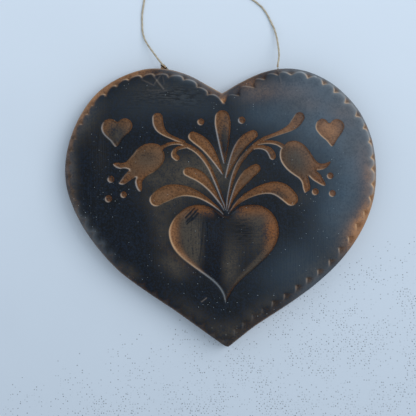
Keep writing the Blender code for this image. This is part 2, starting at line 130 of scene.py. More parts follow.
def closeMesh():
    bpy.ops.mesh.select_all(action="SELECT")
    bpy.ops.mesh.normals_make_consistent(inside=False)
    bpy.ops.object.mode_set(mode="OBJECT")


# lines and distances in the drawing


def smoothLine(points, steps, closed=False):
    # a smooth line through the given points, with the given steps in each span
    given = np.array(points, float)
    if closed:
        padded = np.vstack([given[-1:], given, given[:2]])
    else:
        padded = np.vstack([2 * given[0] - given[1], given, 2 * given[-1] - given[-2]])
    line = []
    for before, a, b, after in zip(padded, padded[1:], padded[2:], padded[3:]):
        for k in range(steps):
            t = k / steps
            line.append(
                0.5 * (2 * a + (b - before) * t + (2 * before - 5 * a + 4 * b - after) * t**2
                       + (3 * a - before - 3 * b + after) * t**3)
            )
    if not closed:
        line.append(given[-1])
    return np.array(line)


def runLengths(line):
    return np.concatenate([[0], np.cumsum(np.linalg.norm(np.diff(line, axis=0), axis=1))])


def asShare(values):
    return np.clip(values, 0, 1)


def unitRows(rows):
    return rows / np.linalg.norm(rows, axis=1)[:, None]


def leftOf(ways):
    # ways in the drawing, turned left by a quarter
    return np.stack([-ways[..., 1], ways[..., 0]], axis=-1)


def evenly(points, gap, closed=True):
    # the line read at points that lie the same length apart
    line = np.vstack([points, points[:1]]) if closed else np.array(points)
    lengths = runLengths(line)
    count = max(3, round(lengths[-1] / gap))
    wanted = np.linspace(0, lengths[-1], count + 1)
    if closed:
        wanted = wanted[:-1]
    return np.stack([np.interp(wanted, lengths, line[:, i]) for i in range(line.shape[1])], axis=1)


def outwards(ring):
    # unit normals out of a closed ring, whichever way round it runs
    after = np.roll(ring, -1, axis=0)
    turned = -leftOf(unitRows(after - np.roll(ring, 1, axis=0)))
    area = (ring[:, 0] * after[:, 1] - ring[:, 1] * after[:, 0]).sum()
    return turned if area > 0 else -turned


def nearTo(points, line, reach):
    # the numbers of the points in the box round a line
    low, high = line.min(axis=0) - reach, line.max(axis=0) + reach
    return np.flatnonzero(((points > low) & (points < high)).all(axis=1))


def insideOf(points, ring, reach=far):
    # how far each point lies inside a closed ring, negative outside, -far beyond the reach
    result = np.full(len(points), -far)
    near = nearTo(points, ring, reach)
    gap = 0.1
    fine = evenly(ring, gap)
    # at a sharp corner the side is told by the normals of both its edges
    normals = outwards(fine)
    normals = unitRows(sum(np.roll(normals, k, axis=0) for k in range(-4, 5)))
    tree = kdtree.KDTree(len(fine))
    for i, (x, y) in enumerate(fine):
        tree.insert((x, y, 0.0), i)
    tree.balance()
    nearest = np.array([tree.find((x, y, 0.0))[1] for x, y in points[near]], int)
    offset = points[near] - fine[nearest]
    normal = normals[nearest]
    along = leftOf(normal)
    slide = np.clip((offset * along).sum(axis=1), -gap / 2, gap / 2)
    gaps = np.linalg.norm(offset - along * slide[:, None], axis=1)
    result[near] = np.where((offset * normal).sum(axis=1) < 0, gaps, -gaps)
    return result


def insideStroke(points, line, reach=4.0):
    # how far each point lies inside a stroke, given as rows of x, y and half width
    result = np.full(len(points), -far)
    near = nearTo(points, line[:, :2], reach)
    along = np.diff(line[:, :2], axis=0)
    squares = (along**2).sum(axis=1)
    batch = 4000
    for start in range(0, len(near), batch):
        some = near[start : start + batch]
        offset = points[some][:, None, :] - line[:-1, :2]
        t = asShare((offset * along).sum(axis=2) / squares)
        gaps = np.sqrt(((offset - along * t[..., None]) ** 2).sum(axis=2))
        widths = line[:-1, 2] + t * np.diff(line[:, 2])
        result[some] = (widths - gaps).max(axis=1)
    return result


def easeIn(values, start, end):
    t = asShare((values - start) / (end - start))
    return t * t * (3 - 2 * t)


def patches(points, ellipses):
    # soft ellipses: x, y, half sizes, turn in degrees and strength
    total = np.zeros(len(points))
    for x, y, halfX, halfY, turn, strength in ellipses:
        cosine, sine = math.cos(math.radians(turn)), math.sin(math.radians(turn))
        dx, dy = points[:, 0] - x, points[:, 1] - y
        u = (dx * cosine + dy * sine) / halfX
        v = (dy * cosine - dx * sine) / halfY
        total += strength * np.exp(-(u**2 + v**2))
    return total


# from the drawing to the CAD part: scale and shift in x and y
drawingToCad = ((0.998169, -0.09753), (0.999939, 0.11378))


def plan(points):
    # drawn millimetres to metres in the frame of the CAD part
    drawn = np.array(points, float)
    for axis, (scale, shift) in enumerate(drawingToCad):
        drawn[..., axis] = drawn[..., axis] * scale + shift
    return drawn * mm


# camera

view = {
    "middle": (-0.00469, -0.00013),
    "faceHeight": 0.009,
    "distance": 0.400,  # camera to the face
    "pictureWidth": 0.1533,  # what the picture spans at the face
}

above = (*view["middle"], view["faceHeight"] + view["distance"])
bpy.ops.object.camera_add(location=above, rotation=(0, 0, 0))
camera = bpy.context.object
camera.name = "overheadCamera"
camera.data.sensor_fit = "HORIZONTAL"
camera.data.angle = 2 * math.atan(view["pictureWidth"] / 2 / view["distance"])
camera.data.clip_start = 0.01
camera.data.dof.use_dof = False
bpy.context.scene.camera = camera
print("camera placed")

# hanging thread

thread = {
    "diameter": 0.75,  # all in millimetres
    "plyLength": 2.3,  # one full turn of the two plies
    "ringGap": 0.2,
    "sides": 14,
    "groove": 0.24,  # how deep the groove between the plies is, as a share of the radius
    "swells": ((3.7, 0.03), (1.3, 0.02)),  # hand spun: length of a radian and share of each swelling
    "soaked": (1.5, 1.0),  # how far wax has crept up the left end and the right end
    "straw": ("#9c907c", "#d2c7b2"),
    "soakedStraw": "#a38668",
    # where the buried ends come out, and their ways in
    "leftMouth": (-20.061, 51.644, 6.0),
    "leftInwards": (0.66063, -0.75071, 0.0),
    "rightMouth": (21.263, 51.694, 6.0),
    "rightInwards": (0.05989, -0.99820, 0.0),
    "exitGap": 0.4,
    "lowest": 0.395,  # middle of the thread where it lies on the surface
    # drawn route from the left exit to the right one, the same points as the CAD thread
    "route": [
        (-21.8, 53.4, 5.2), (-23.7, 55.9, 4.3), (-25.6, 58.6, 3.1), (-27.2, 60.9, 2), (-28.4, 63.1, 1.2),
        (-29.2, 65.8, 0.6), (-29.4, 68.6, 0.4), (-29.4, 72.8, 0.4), (-28.6, 78.1, 0.4), (-28.3, 84, 0.4),
        (-29, 91, 0.4), (-28.3, 98, 0.4), (-24, 103.4, 0.4), (-17, 104.3, 0.4), (-10.4, 100, 0.4),
        (-4.4, 93.2, 0.4), (1.8, 86.4, 0.4), (8.4, 80.9, 0.4), (15.7, 75.4, 0.4), (19.2, 69.6, 0.6),
        (20.9, 65.2, 1.5), (21.7, 60.2, 3.3), (21.9, 56.3, 4.9),
    ],
}


def threadRoute():
    # the whole free thread in metres, out of one exit and into the other
    ends = []
    for side in ("left", "right"):
        mouth, inwards = np.array(thread[side + "Mouth"]), np.array(thread[side + "Inwards"])
        ends.append([mouth - inwards * (thread["exitGap"] + out) for out in (0, thread["diameter"])])
    middle = [(*(plan([x, y]) / mm), max(thread["lowest"], z)) for x, y, z in thread["route"]]
    return smoothLine(ends[0] + middle + ends[1][::-1], 3) * mm


def threadMesh(route):
    # a tube whose section is two plies, turned along its length
    rings = evenly(route, thread["ringGap"] * mm, closed=False)
    lengths = runLengths(rings) / mm
    along = unitRows(np.gradient(rings, axis=0))
    side = unitRows(np.cross(along, [0.0, 0.0, 1.0]))
    up = np.cross(side, along)
    sides = thread["sides"]
    angles = np.arange(sides) * math.tau / sides
    around = angles - math.pi * lengths[:, None] / thread["plyLength"]
    crown = np.abs(np.cos(around))
    groove = thread["groove"]
    uneven = 0.95 + sum(share * np.sin(lengths / length) for length, share in thread["swells"])
    uneven[[0, -1]] *= 0.9
    reach = thread["diameter"] / 2 * mm * (1 - groove + groove * crown**0.6) * uneven[:, None]
    way = side[:, None] * np.cos(angles)[:, None] + up[:, None] * np.sin(angles)[:, None]
    points = rings[:, None] + way * reach[..., None]
    faces = []
    for i in range(len(rings) - 1):
        for k in range(sides):
            a, b = i * sides + k, i * sides + (k + 1) % sides
            faces.append((a, b, b + sides, a + sides))
    faces.append(tuple(range(sides - 1, -1, -1)))
    last = (len(rings) - 1) * sides
    faces.append(tuple(last + k for k in range(sides)))
    mesh = bpy.data.meshes.new("threadLoop")
    mesh.from_pydata(points.reshape(-1, 3).tolist(), [], faces)
    left, right = thread["soaked"]
    soak = np.exp(-((lengths / left) ** 2)) + 0.5 * np.exp(-(((lengths[-1] - lengths) / right) ** 2))
    fibres = [np.cos(around), np.sin(around), np.repeat(lengths[:, None], sides, axis=1)]
    paint(mesh, "plyCrown", crown)
    paint(mesh, "waxSoak", np.repeat(soak, sides))
    paint(mesh, "fibreWay", np.stack(fibres, axis=2), "FLOAT_VECTOR")
    mesh.validate()
    return mesh


# two-ply natural thread, spun from plant fibre: matt and straw coloured, with painted shade in the groove
# between its plies
def threadMaterial():
    made, tree = newMaterial("naturalSpunThread")
    crown = addNode(tree, "Attribute", output="Fac", attribute_name="plyCrown")
    fibre = addNode(tree, "Attribute", output="Vector", attribute_name="fibreWay")
    # fibres run with the plies: about 0.1 mm wide and 3 mm long
    stretched = addNode(tree, "Mapping", {"Vector": fibre, "Scale": (3.2, 3.2, 0.35)})
    streak = addNode(tree, "TexNoise", {"Vector": stretched, "Scale": 1.0, "Detail": 3.0})
    slow = addNode(tree, "Mapping", {"Vector": fibre, "Scale": (0.3, 0.3, 0.12)})
    tone = addNode(tree, "TexNoise", {"Vector": slow, "Scale": 1.0, "Detail": 2.0})
    dark, light = thread["straw"]
    straw = addNode(tree, "Mix", [tone, dark, light], data_type="RGBA")
    lit = addNode(tree, "MapRange", [streak, 0.3, 0.7, 0.72, 1.18])
    # painted shade: darker where the plies dip into the groove
    groove = addNode(tree, "MapRange", [crown, 0.0, 0.55, 0.6, 1.0])
    shade = addNode(tree, "Math", [lit, groove], operation="MULTIPLY")
    colour = addNode(tree, "VectorMath", [straw, shade], operation="SCALE")
    # the ends drew up wax as the heart was poured
    soak = addNode(tree, "Attribute", output="Fac", attribute_name="waxSoak")
    colour = addNode(tree, "Mix", [soak, colour, thread["soakedStraw"]], data_type="RGBA")
    bump = addNode(tree, "Bump", {"Strength": 0.5, "Distance": 0.06 * mm, "Height": streak})
    shader = addNode(
        tree, "BsdfPrincipled",
        {"Base Color": colour, "Roughness": 0.88, "IOR": 1.5, "Sheen Weight": 0.15, "Normal": bump},
    )
    addNode(tree, "OutputMaterial", {"Surface": shader})
    return made


naturalThread = threadMaterial()
route = threadRoute()
threadLoop = bpy.data.objects.new("threadLoop", threadMesh(route))
bpy.context.scene.collection.objects.link(threadLoop)
threadLoop.data.materials.append(naturalThread)
for face in threadLoop.data.polygons:
    face.use_smooth = True
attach(threadLoop, "loop")
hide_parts("hanging_cord")
for name in ("cord_end_left", "cord_end_right"):
    node = frame["nodes"][name]
    node.data.materials.clear()
    node.data.materials.append(naturalThread)

# drawing of the heart, in millimetres

heart = {
    "thickness": 9.0,
    "bandLevel": 8.2,  # top of the band outside the scallops
    "leastBand": 0.75,  # the scallops stay that far inside the rim
    "rimRadius": 0.5,
    "backRadius": 0.4,
    "sideDraft": 0.7,  # the back is that much wider on each side
    "halfWidth": 57.5,
    "latticeGap": 0.5,  # pitch of the mesh on the plain field
    "ringGap": 0.36,  # pitch of the mesh along a carved edge, and along the rim
    "outlineGap": 0.4,
    # how far inside each kind of edge the mesh has a ring of points
    "motifRings": (-0.4, -0.16, 0.0, 0.14, 0.3, 0.46, 0.64, 0.9),
    "scallopRings": (-0.5, -0.28, -0.1, 0.06, 0.22, 0.4, 0.7),
    "rimRings": (0.03, 0.1, 0.22, 0.5, 0.8),
    "scratchRows": (-1.6, -0.7, 0.0, 0.7, 1.6),  # in half widths of the scratch
    "latticeClear": (0.95, 0.62, 0.6),  # room to the rim, to a sunk shape and to the scallops
    "leastGap": 0.15,  # one point at most in a cell of this size
}

outlineRight = [
    (0.6, 42.1), (7.6, 46.2), (15.3, 49.7), (23.2, 51.3), (31.2, 50.5), (39.3, 47.1), (45.8, 42.1),
    (51.5, 35.4), (55.4, 27.3), (57.3, 18.7), (57.6, 9.4), (55.9, 0), (51.6, -9.8), (44.7, -19.4),
    (35.6, -28.1), (25.3, -35.7), (13.5, -43.4), (6.2, -49), (3.6, -51.1), (2.6, -51.55),
]
outlineLeft = [
    (2.6, -51.55), (1.5, -51.1), (-2.5, -48.4), (-7.4, -44.9), (-16.8, -38.2), (-27.6, -31), (-37.5, -23.6),
    (-45.8, -14.6), (-52.3, -4.8), (-56.5, 5.5), (-57.5, 14.6), (-55.9, 24.5), (-51.9, 33.9), (-46.1, 41.8),
    (-38.3, 47.4), (-28.8, 50.9), (-20.2, 51.1), (-12, 48.9), (-4.4, 44.9), (0.6, 42.1),
]

# points between the scallops, clockwise from the notch; each run has how far its lobes swell, how blunt
# they are, how far they lean on, how square they are, how much of the drop to the band stays between the
# points, and how deep it is
scallopRuns = [
    (1, 1.4, 0.06, 0.35, 0.85, 1, [(1.2, 38.5), (7, 41.3)]),
    (1.1, 0.8, -0.06, 0.75, 0.85, 1, [(7, 41.3), (12.6, 44.2), (16.4, 47.2)]),
    (1.4, 0.7, -0.08, 0.3, 0.75, 1, [(16.4, 47.2), (21.2, 48.9), (26.1, 49), (32.3, 47.8)]),
    (1.35, 0.7, 0.06, 0.15, 0.28, 0.9, [
        (32.3, 47.8), (37.9, 45.4), (42.1, 42.5), (46.1, 38.6), (50.1, 33.7), (52.9, 29.2), (54.9, 24.1),
        (55.7, 18.4), (55.9, 14.2), (55.9, 8.6), (55.1, 3.9), (53.1, -1.4),
    ]),
    (0.25, 1, 0, 1, 0.1, 1, [
        (53.1, -1.4), (50.2, -6), (47.4, -10.9), (43.9, -14.8), (40.3, -19.4), (36.1, -23), (32, -26),
        (28, -28.8), (23.7, -31.9), (19.3, -34.6),
    ]),
    (0.25, 1, 0, 0.9, 0.1, 0.6, [
        (19.3, -34.6), (15.5, -37.4), (11.9, -39.6), (8.4, -42.4), (5.2, -45), (2.4, -48.3),
    ]),
    (1.5, 0.6, 0, 0.3, 0.15, 0.35, [
        (2.4, -48.3), (-1.6, -46), (-5.9, -42.9), (-10.2, -39.8), (-14.6, -36.8), (-19, -33.8),
        (-23.4, -30.9), (-27.8, -27.8), (-32.1, -24.7), (-36.2, -21.3), (-40, -17.5), (-43.6, -13.5),
        (-46.9, -9.2), (-49.8, -4.4), (-52.3, 1.5),
    ]),
    (1.12, 0.6, 0.13, 0, 1, 1, [
        (-52.3, 1.5), (-54.1, 5.7), (-55.1, 11.4), (-55.4, 16.2), (-54.7, 21), (-53.4, 25.5), (-51.1, 30.8),
        (-48.9, 34.5), (-47.1, 37.7), (-42.4, 41.5), (-38.3, 44.8), (-34, 47.1), (-29, 48.1), (-24.3, 48.7),
        (-19.2, 48.1), (-13.6, 47.1), (-8.6, 44.4), (-4.8, 41.6),
    ]),
    (0.95, 1, -0.05, 0, 0.95, 1, [(-4.8, 41.6), (1.2, 38.5)]),
]

# strokes: x, y and half width along the middle, from the round head to the fine tail
strokes = {
    "centrePetal": [
        (0.65, 33.1, 2.73), (0.8, 30.9, 2.98), (0.95, 27.9, 2.63), (1.1, 24.9, 2.18), (1.25, 21.4, 1.53),
        (1.35, 18.5, 0.93), (1.4, 16.5, 0.43),
    ],
    "upperPetalLeft": [
        (-10.15, 26.1, 1.83), (-8.35, 25, 2.13), (-6.15, 23.3, 2.13), (-4.15, 21, 1.88), (-2.35, 18.2, 1.43),
        (-0.75, 15.4, 0.98), (0.75, 12.5, 0.48),
    ],
    "upperPetalRight": [
        (12.05, 26.8, 1.73), (10.45, 25.8, 2.03), (8.55, 24.2, 2.08), (6.85, 22, 1.93), (5.25, 19.1, 1.58),
        (3.85, 15.9, 1.13), (2.75, 13.1, 0.73), (2.05, 11.1, 0.43),
    ],
    "middlePetalLeft": [
        (-12.15, 13.1, 1.73), (-10.35, 12.6, 2.08), (-8.15, 11.6, 2.13), (-6.15, 10, 1.88), (-4.35, 8, 1.48),
        (-2.65, 5.7, 1.08), (-0.95, 3.1, 0.73), (0.55, 0.8, 0.45), (1.45, -1, 0.3),
    ],
    "middlePetalRight": [
        (13.05, 14.3, 1.73), (11.65, 13.3, 2.03), (9.85, 11.7, 2.13), (8.05, 9.6, 1.88), (6.45, 7.3, 1.43),
        (5.05, 4.7, 0.98), (3.95, 2.3, 0.63), (3.35, 0.6, 0.43), (2.75, -1.2, 0.3),
    ],
    "lowerPetalLeft": [
        (-23.75, 2.8, 2.53), (-21.95, 4.1, 2.88), (-19.65, 5.2, 2.98), (-17.15, 5.9, 2.63),
        (-14.15, 6.1, 2.13), (-11.15, 5.6, 1.68), (-8.15, 4.5, 1.23), (-5.15, 2.8, 0.88), (-2.65, 1, 0.63),
        (-0.45, -0.8, 0.45), (1, -2.4, 0.3),
    ],
    "lowerPetalRight": [
        (26.15, 3.1, 2.58), (24.35, 4.9, 2.83), (22.15, 6.4, 2.78), (19.65, 7.1, 2.43), (16.85, 6.9, 1.98),
        (13.85, 6.1, 1.63), (10.85, 4.8, 1.33), (8.35, 3.3, 1.03), (6.15, 1.5, 0.73), (4.45, -0.4, 0.45),
        (3.1, -2.1, 0.3),
    ],
    "commaLeft": [
        (-23.25, 32.9, 1.98), (-23.05, 30.9, 1.98), (-22.25, 29, 1.63), (-20.65, 27.3, 1.08),
        (-18.45, 26, 0.78), (-16.15, 25, 0.73), (-13.65, 24, 0.73),
    ],
    "commaRight": [
        (29.15, 33.2, 1.98), (27.95, 31.4, 1.98), (26.35, 29.8, 1.58), (24.15, 28.5, 1.13),
        (21.35, 27.3, 0.83), (18.35, 26.2, 0.73), (15.35, 24.9, 0.73), (12.45, 22.9, 0.73),
    ],
    "stemLeft": [
        (-13.75, 23.3, 0.83), (-11.95, 22.5, 0.88), (-9.95, 21.5, 0.88), (-7.95, 19.9, 0.88),
        (-5.95, 17.6, 0.83), (-4.05, 14.6, 0.78), (-2.35, 10.9, 0.73), (-0.75, 6.9, 0.63), (0.45, 3.7, 0.53),
        (1.45, 1.1, 0.43), (1.95, -0.9, 0.3),
    ],
    "stemRight": [
        (13.05, 23.1, 0.83), (10.85, 21.1, 0.88), (8.85, 19, 0.88), (7.05, 16.6, 0.88), (5.55, 13.6, 0.83),
        (4.25, 9.9, 0.73), (3.45, 6.4, 0.63), (2.85, 3.4, 0.53), (2.55, 1.1, 0.43), (2.3, -0.9, 0.3),
    ],
    "curlLeft": [
        (-16.15, 18.2, 1.13), (-17.15, 19.1, 1.08), (-17.15, 20.4, 0.88), (-16.15, 21.5, 0.78),
        (-14.55, 22.1, 0.73), (-12.75, 22.4, 0.68),
    ],
    "curlRight": [
        (19.25, 18.7, 1.23), (18.75, 20, 1.33), (17.75, 21.2, 1.13), (16.05, 22, 0.88), (14.05, 22.2, 0.73),
        (12.25, 21.9, 0.68),
    ],
    "tulipStemLeft": [
        (-22.55, 21.1, 0.93), (-20.75, 22.5, 0.73), (-18.65, 23.4, 0.63), (-16.15, 23.7, 0.63),
        (-13.55, 23.4, 0.63),
    ],
    "tulipStemRight": [
        (23.45, 22.1, 0.93), (21.35, 23.4, 0.78), (18.85, 24, 0.73), (16.35, 24, 0.68), (13.75, 23.5, 0.63),
    ],
}

# closed shapes
shapes = {
    "vaseHeart": [
        (2.3, -2.9), (4.5, -1.3), (7, 0.2), (10, 0.9), (13, 1), (16, 0.2), (18.8, -1.8), (20.7, -4.7),
        (21.6, -8), (21.4, -11), (20.2, -14), (18.3, -17), (15.5, -20), (12.3, -22.8), (9, -25.5),
        (6, -28.5), (3.8, -31.5), (2, -35.2), (0.8, -32), (-1, -29.2), (-3.5, -26.8), (-7, -24.2),
        (-10.5, -21.7), (-14, -19), (-16.8, -16), (-18.4, -13), (-19.1, -10), (-18.9, -7.5), (-17.5, -4.5),
        (-15, -1.8), (-12, 0.2), (-8.5, 1), (-5, 0.5), (-2, -0.8), (0.3, -2.2),
    ],
    "smallHeartLeft": [
        (-38.1, 31.5), (-36.7, 32.5), (-34.8, 32.8), (-33.1, 31.8), (-32.5, 29.9), (-33.5, 27.8),
        (-36.1, 25.4), (-38.5, 22.2), (-40.8, 24.5), (-43.2, 26.8), (-44.1, 29.2), (-43.3, 31.5),
        (-41.4, 32.6), (-39.4, 32.3),
    ],
    "smallHeartRight": [
        (40.1, 31.1), (41.5, 32.3), (43.3, 32.6), (45.1, 31.6), (45.8, 29.7), (45, 27.5), (43.3, 25.2),
        (41.3, 22.3), (39.1, 24.5), (36.7, 26.6), (35.1, 29), (35.4, 31.4), (37, 32.7), (38.8, 32.4),
    ],
    "tulipLeft": [
        (-21.8, 21.8), (-22.6, 23), (-25, 23.6), (-27.5, 23.4), (-29.5, 22.5), (-31, 21.3), (-32, 20),
        (-33.5, 18.2), (-35, 16.8), (-36.5, 16.3), (-38, 16.5), (-39.6, 16.1), (-39.5, 15.4), (-38.5, 14.6),
        (-37, 14.1), (-35.5, 14.3), (-33.8, 13.8), (-34.5, 13), (-36, 11.3), (-37, 9.8), (-37.6, 8.9),
        (-37, 8.4), (-35.8, 8.3), (-34.5, 9), (-33.3, 9.8), (-32.2, 10.6), (-31.2, 11), (-31.6, 9.5),
        (-31.3, 7.8), (-30.7, 6.5), (-30, 5.8), (-29.2, 6), (-28.9, 7.5), (-29, 9), (-28.3, 10.3),
        (-26.8, 11.6), (-25, 12.6), (-23.5, 13.7), (-22, 15.2), (-20.9, 17), (-20.6, 19), (-21, 20.5),
    ],
    "tulipRight": [
        (23.3, 22.9), (25, 24.2), (27, 24.6), (29, 24.2), (31, 22.9), (32.7, 21), (34, 19), (35.3, 17.2),
        (36.8, 16.2), (38.5, 16.3), (40.5, 17), (40.6, 16.3), (39.5, 14.8), (38, 13.9), (36.3, 13.6),
        (35.5, 13.4), (37, 12), (38, 10.3), (38.8, 8.8), (38.7, 7.9), (37.5, 8), (36, 8.8), (34.5, 9.7),
        (33.2, 10.8), (32.4, 11.5), (33, 9), (33.2, 7.5), (32.8, 6.2), (31.5, 5.3), (31, 5.4), (30.4, 7),
        (30, 9), (29, 10.5), (27, 11.9), (25, 13.4), (23.3, 15.3), (22.2, 17.2), (21.8, 19.2), (22, 21),
        (22.7, 22.3),
    ],
}

# scratches and ridges: both ends, half width, height and how much coat lies in them
scratches = [
    (-25.2, 49, -23.6, 46.9, 0.28, 0.14, -0.2), (-23.6, 46.9, -21.1, 43.6, 0.28, 0.14, -0.3),
    (-28.9, 47, -24.6, 44.9, 0.26, 0.1, -0.13), (-21.4, 48.2, -20.9, 45.4, 0.22, 0.06, -0.06),
    (-24.4, 45.6, -22.4, 48.4, 0.24, 0.08, -0.12), (-27, 43.2, -20, 43, 0.22, 0.05, -0.08),
    (-9.7, -0.3, -13, -3.9, 0.32, -0.2, 1.2), (-8.7, -0.9, -12.6, -5.3, 0.32, -0.2, 1.2),
    (-10.4, -3.9, -12.5, -6.3, 0.28, -0.16, 1), (-8.3, -2, -10.6, -4.8, 0.24, -0.16, 1.1),
    (-11.5, -0.8, -13.8, -3.2, 0.22, -0.1, 0.4), (-9.9, -1.9, -11.6, -3.7, 0.2, 0.06, -0.4),
    (-6.6, -5.6, -7, -12.5, 0.22, -0.06, 0.7), (-6.9, -12, -7.9, -20, 0.22, -0.06, 0.7),
    (-10.2, -11.5, -10.4, -17.4, 0.2, -0.05, 0.5), (-5.2, -5.4, -4.9, -10.4, 0.18, -0.05, 0.5),
    (-6.9, -34.8, -5.3, -33.5, 0.18, 0.05, -0.35), (21.2, 51, 22.3, 45.6, 0.3, 0.1, -0.1),
]

# dots: x, y and radius
dots = [
    (-7.3, 31.5, 1.35), (7.8, 32.1, 1.4), (-40.5, 10.3, 1.35), (-41.4, 3.1, 1.4), (-35.8, 4.6, 1.25),
    (40.5, 11.6, 1.3), (35, 5.7, 1.35), (41.3, 5.1, 1.35),
]

# how each kind is sunk, in millimetres: depth, width of its wall, swell of its floor and how soon it swells
cuts = {
    "petal": (0.80, 0.72, 0.22, 1.0),
    "stem": (0.72, 0.62, 0.08, 0.8),
    "dot": (0.75, 0.75, 0.0, 1.0),
    "tulip": (0.85, 0.75, 0.50, 2.2),
    "smallHeart": (0.80, 0.72, 0.35, 1.8),
    "vase": (1.05, 0.8, 0.70, 4.2),
}


def kindOf(name):
    for word, kind in (("vase", "vase"), ("smallHeart", "smallHeart"), ("dot", "dot"), ("Petal", "petal")):
        if word in name:
            return kind
    return "tulip" if name in ("tulipLeft", "tulipRight") else "stem"


def strokeRing(line):
    # the outline of a stroke, with a round head and tail
    middles, widths = line[:, :2], line[:, 2]
    along = unitRows(np.gradient(middles, axis=0))
    across = leftOf(along) * widths[:, None]
    turns = np.radians(np.arange(-75, 76, 15))[:, None]
    caps = []
    for i, way in ((-1, along[-1]), (0, -along[0])):
        caps.append(middles[i] + widths[i] * (np.cos(turns) * way + np.sin(turns) * leftOf(way)))
    return np.concatenate([middles - across, caps[0], (middles + across)[::-1], caps[1]])


def scallopRing(outline):
    # lobes that swell outwards between the given points, kept inside the rim
    ring = []
    steps = 12
    usualPitch = 5.2
    for rise, blunt, tilt, square, between, full, points in scallopRuns:
        points = np.array(points)
        for number, (a, b) in enumerate(zip(points, points[1:])):
            chord = b - a
            span = np.linalg.norm(chord)
            out = leftOf(chord) / span
            # cut by hand: no two lobes are quite the same
            swell = rise * min(1.15, span / usualPitch) * (1 + 0.12 * math.sin(2.3 * number + a[0]))
            lean = tilt + 0.05 * math.sin(1.7 * number + a[1])
            # the corner of a square lobe: level with one point and upright over the other, on the outer side
            upFirst = (np.array([a[0], b[1]]) - a) @ out > 0
            for k in range(steps):
                t = k / steps
                bulge = math.sin(math.pi * t)
                early, late = math.sin(math.pi / 2 * t) ** 0.6, math.cos(math.pi / 2 * t) ** 0.6
                across, upward = (1 - late, early) if upFirst else (early, 1 - late)
                cornered = a + chord * np.array([across, upward])
                plain = a + chord * (t + lean * bulge)
                ring.append(plain * (1 - square) + cornered * square + out * swell * bulge**blunt)
    ring = np.array(ring)
    normals = outwards(outline)
    for i, here in enumerate(ring):
        nearest = np.linalg.norm(outline - here, axis=1).argmin()
        room = (outline[nearest] - here) @ normals[nearest]
        if room < heart["leastBand"]:
            ring[i] = here - normals[nearest] * (heart["leastBand"] - room)
    return ring


outline = np.vstack([smoothLine(side, 8)[:-1] for side in (outlineRight, outlineLeft)])
outline = evenly(outline, heart["outlineGap"])
scallops = scallopRing(outline)
motifs = {}
for name, points in strokes.items():
    line = smoothLine(points, 4)
    motifs[name] = (strokeRing(line), line)
for name, points in shapes.items():
    motifs[name] = (smoothLine(points, 4, closed=True), None)
turns = np.arange(24) * math.tau / 24
for number, (x, y, radius) in enumerate(dots, 1):
    ring = np.stack([x + radius * np.cos(turns), y + radius * np.sin(turns)], axis=1)
    motifs[f"dot{number}"] = (ring, None)
motifNames = list(motifs)


def insideMotifs(points):
    rows = []
    for name in motifNames:
        ring, line = motifs[name]
        rows.append(insideOf(points, ring, 2.0) if line is None else insideStroke(points, line))
    return np.array(rows)


# how the surface has worn, and the side from which the painted highlights and glows are lit

wearAndLight = {
    "lightFrom": (0.77, 0.64),  # the side that the light comes from, as a direction in the drawing
    "fullSlope": 0.6,  # slope at which a wall is fully lit, or fully turned away
    # coat on the band, orange of the bare wax, haze and dust where no spot changes them
    "bandBlack": 0.93,
    "warmth": 0.60,
    "haze": 0.02,
    "dust": 0.15,
    # black coat on the floors of the sunk shapes, by kind
    "floorBlack": {"petal": 0.06, "stem": 0.12, "dot": 0.16, "tulip": 0.09, "smallHeart": 0.06, "vase": 1.0},
}

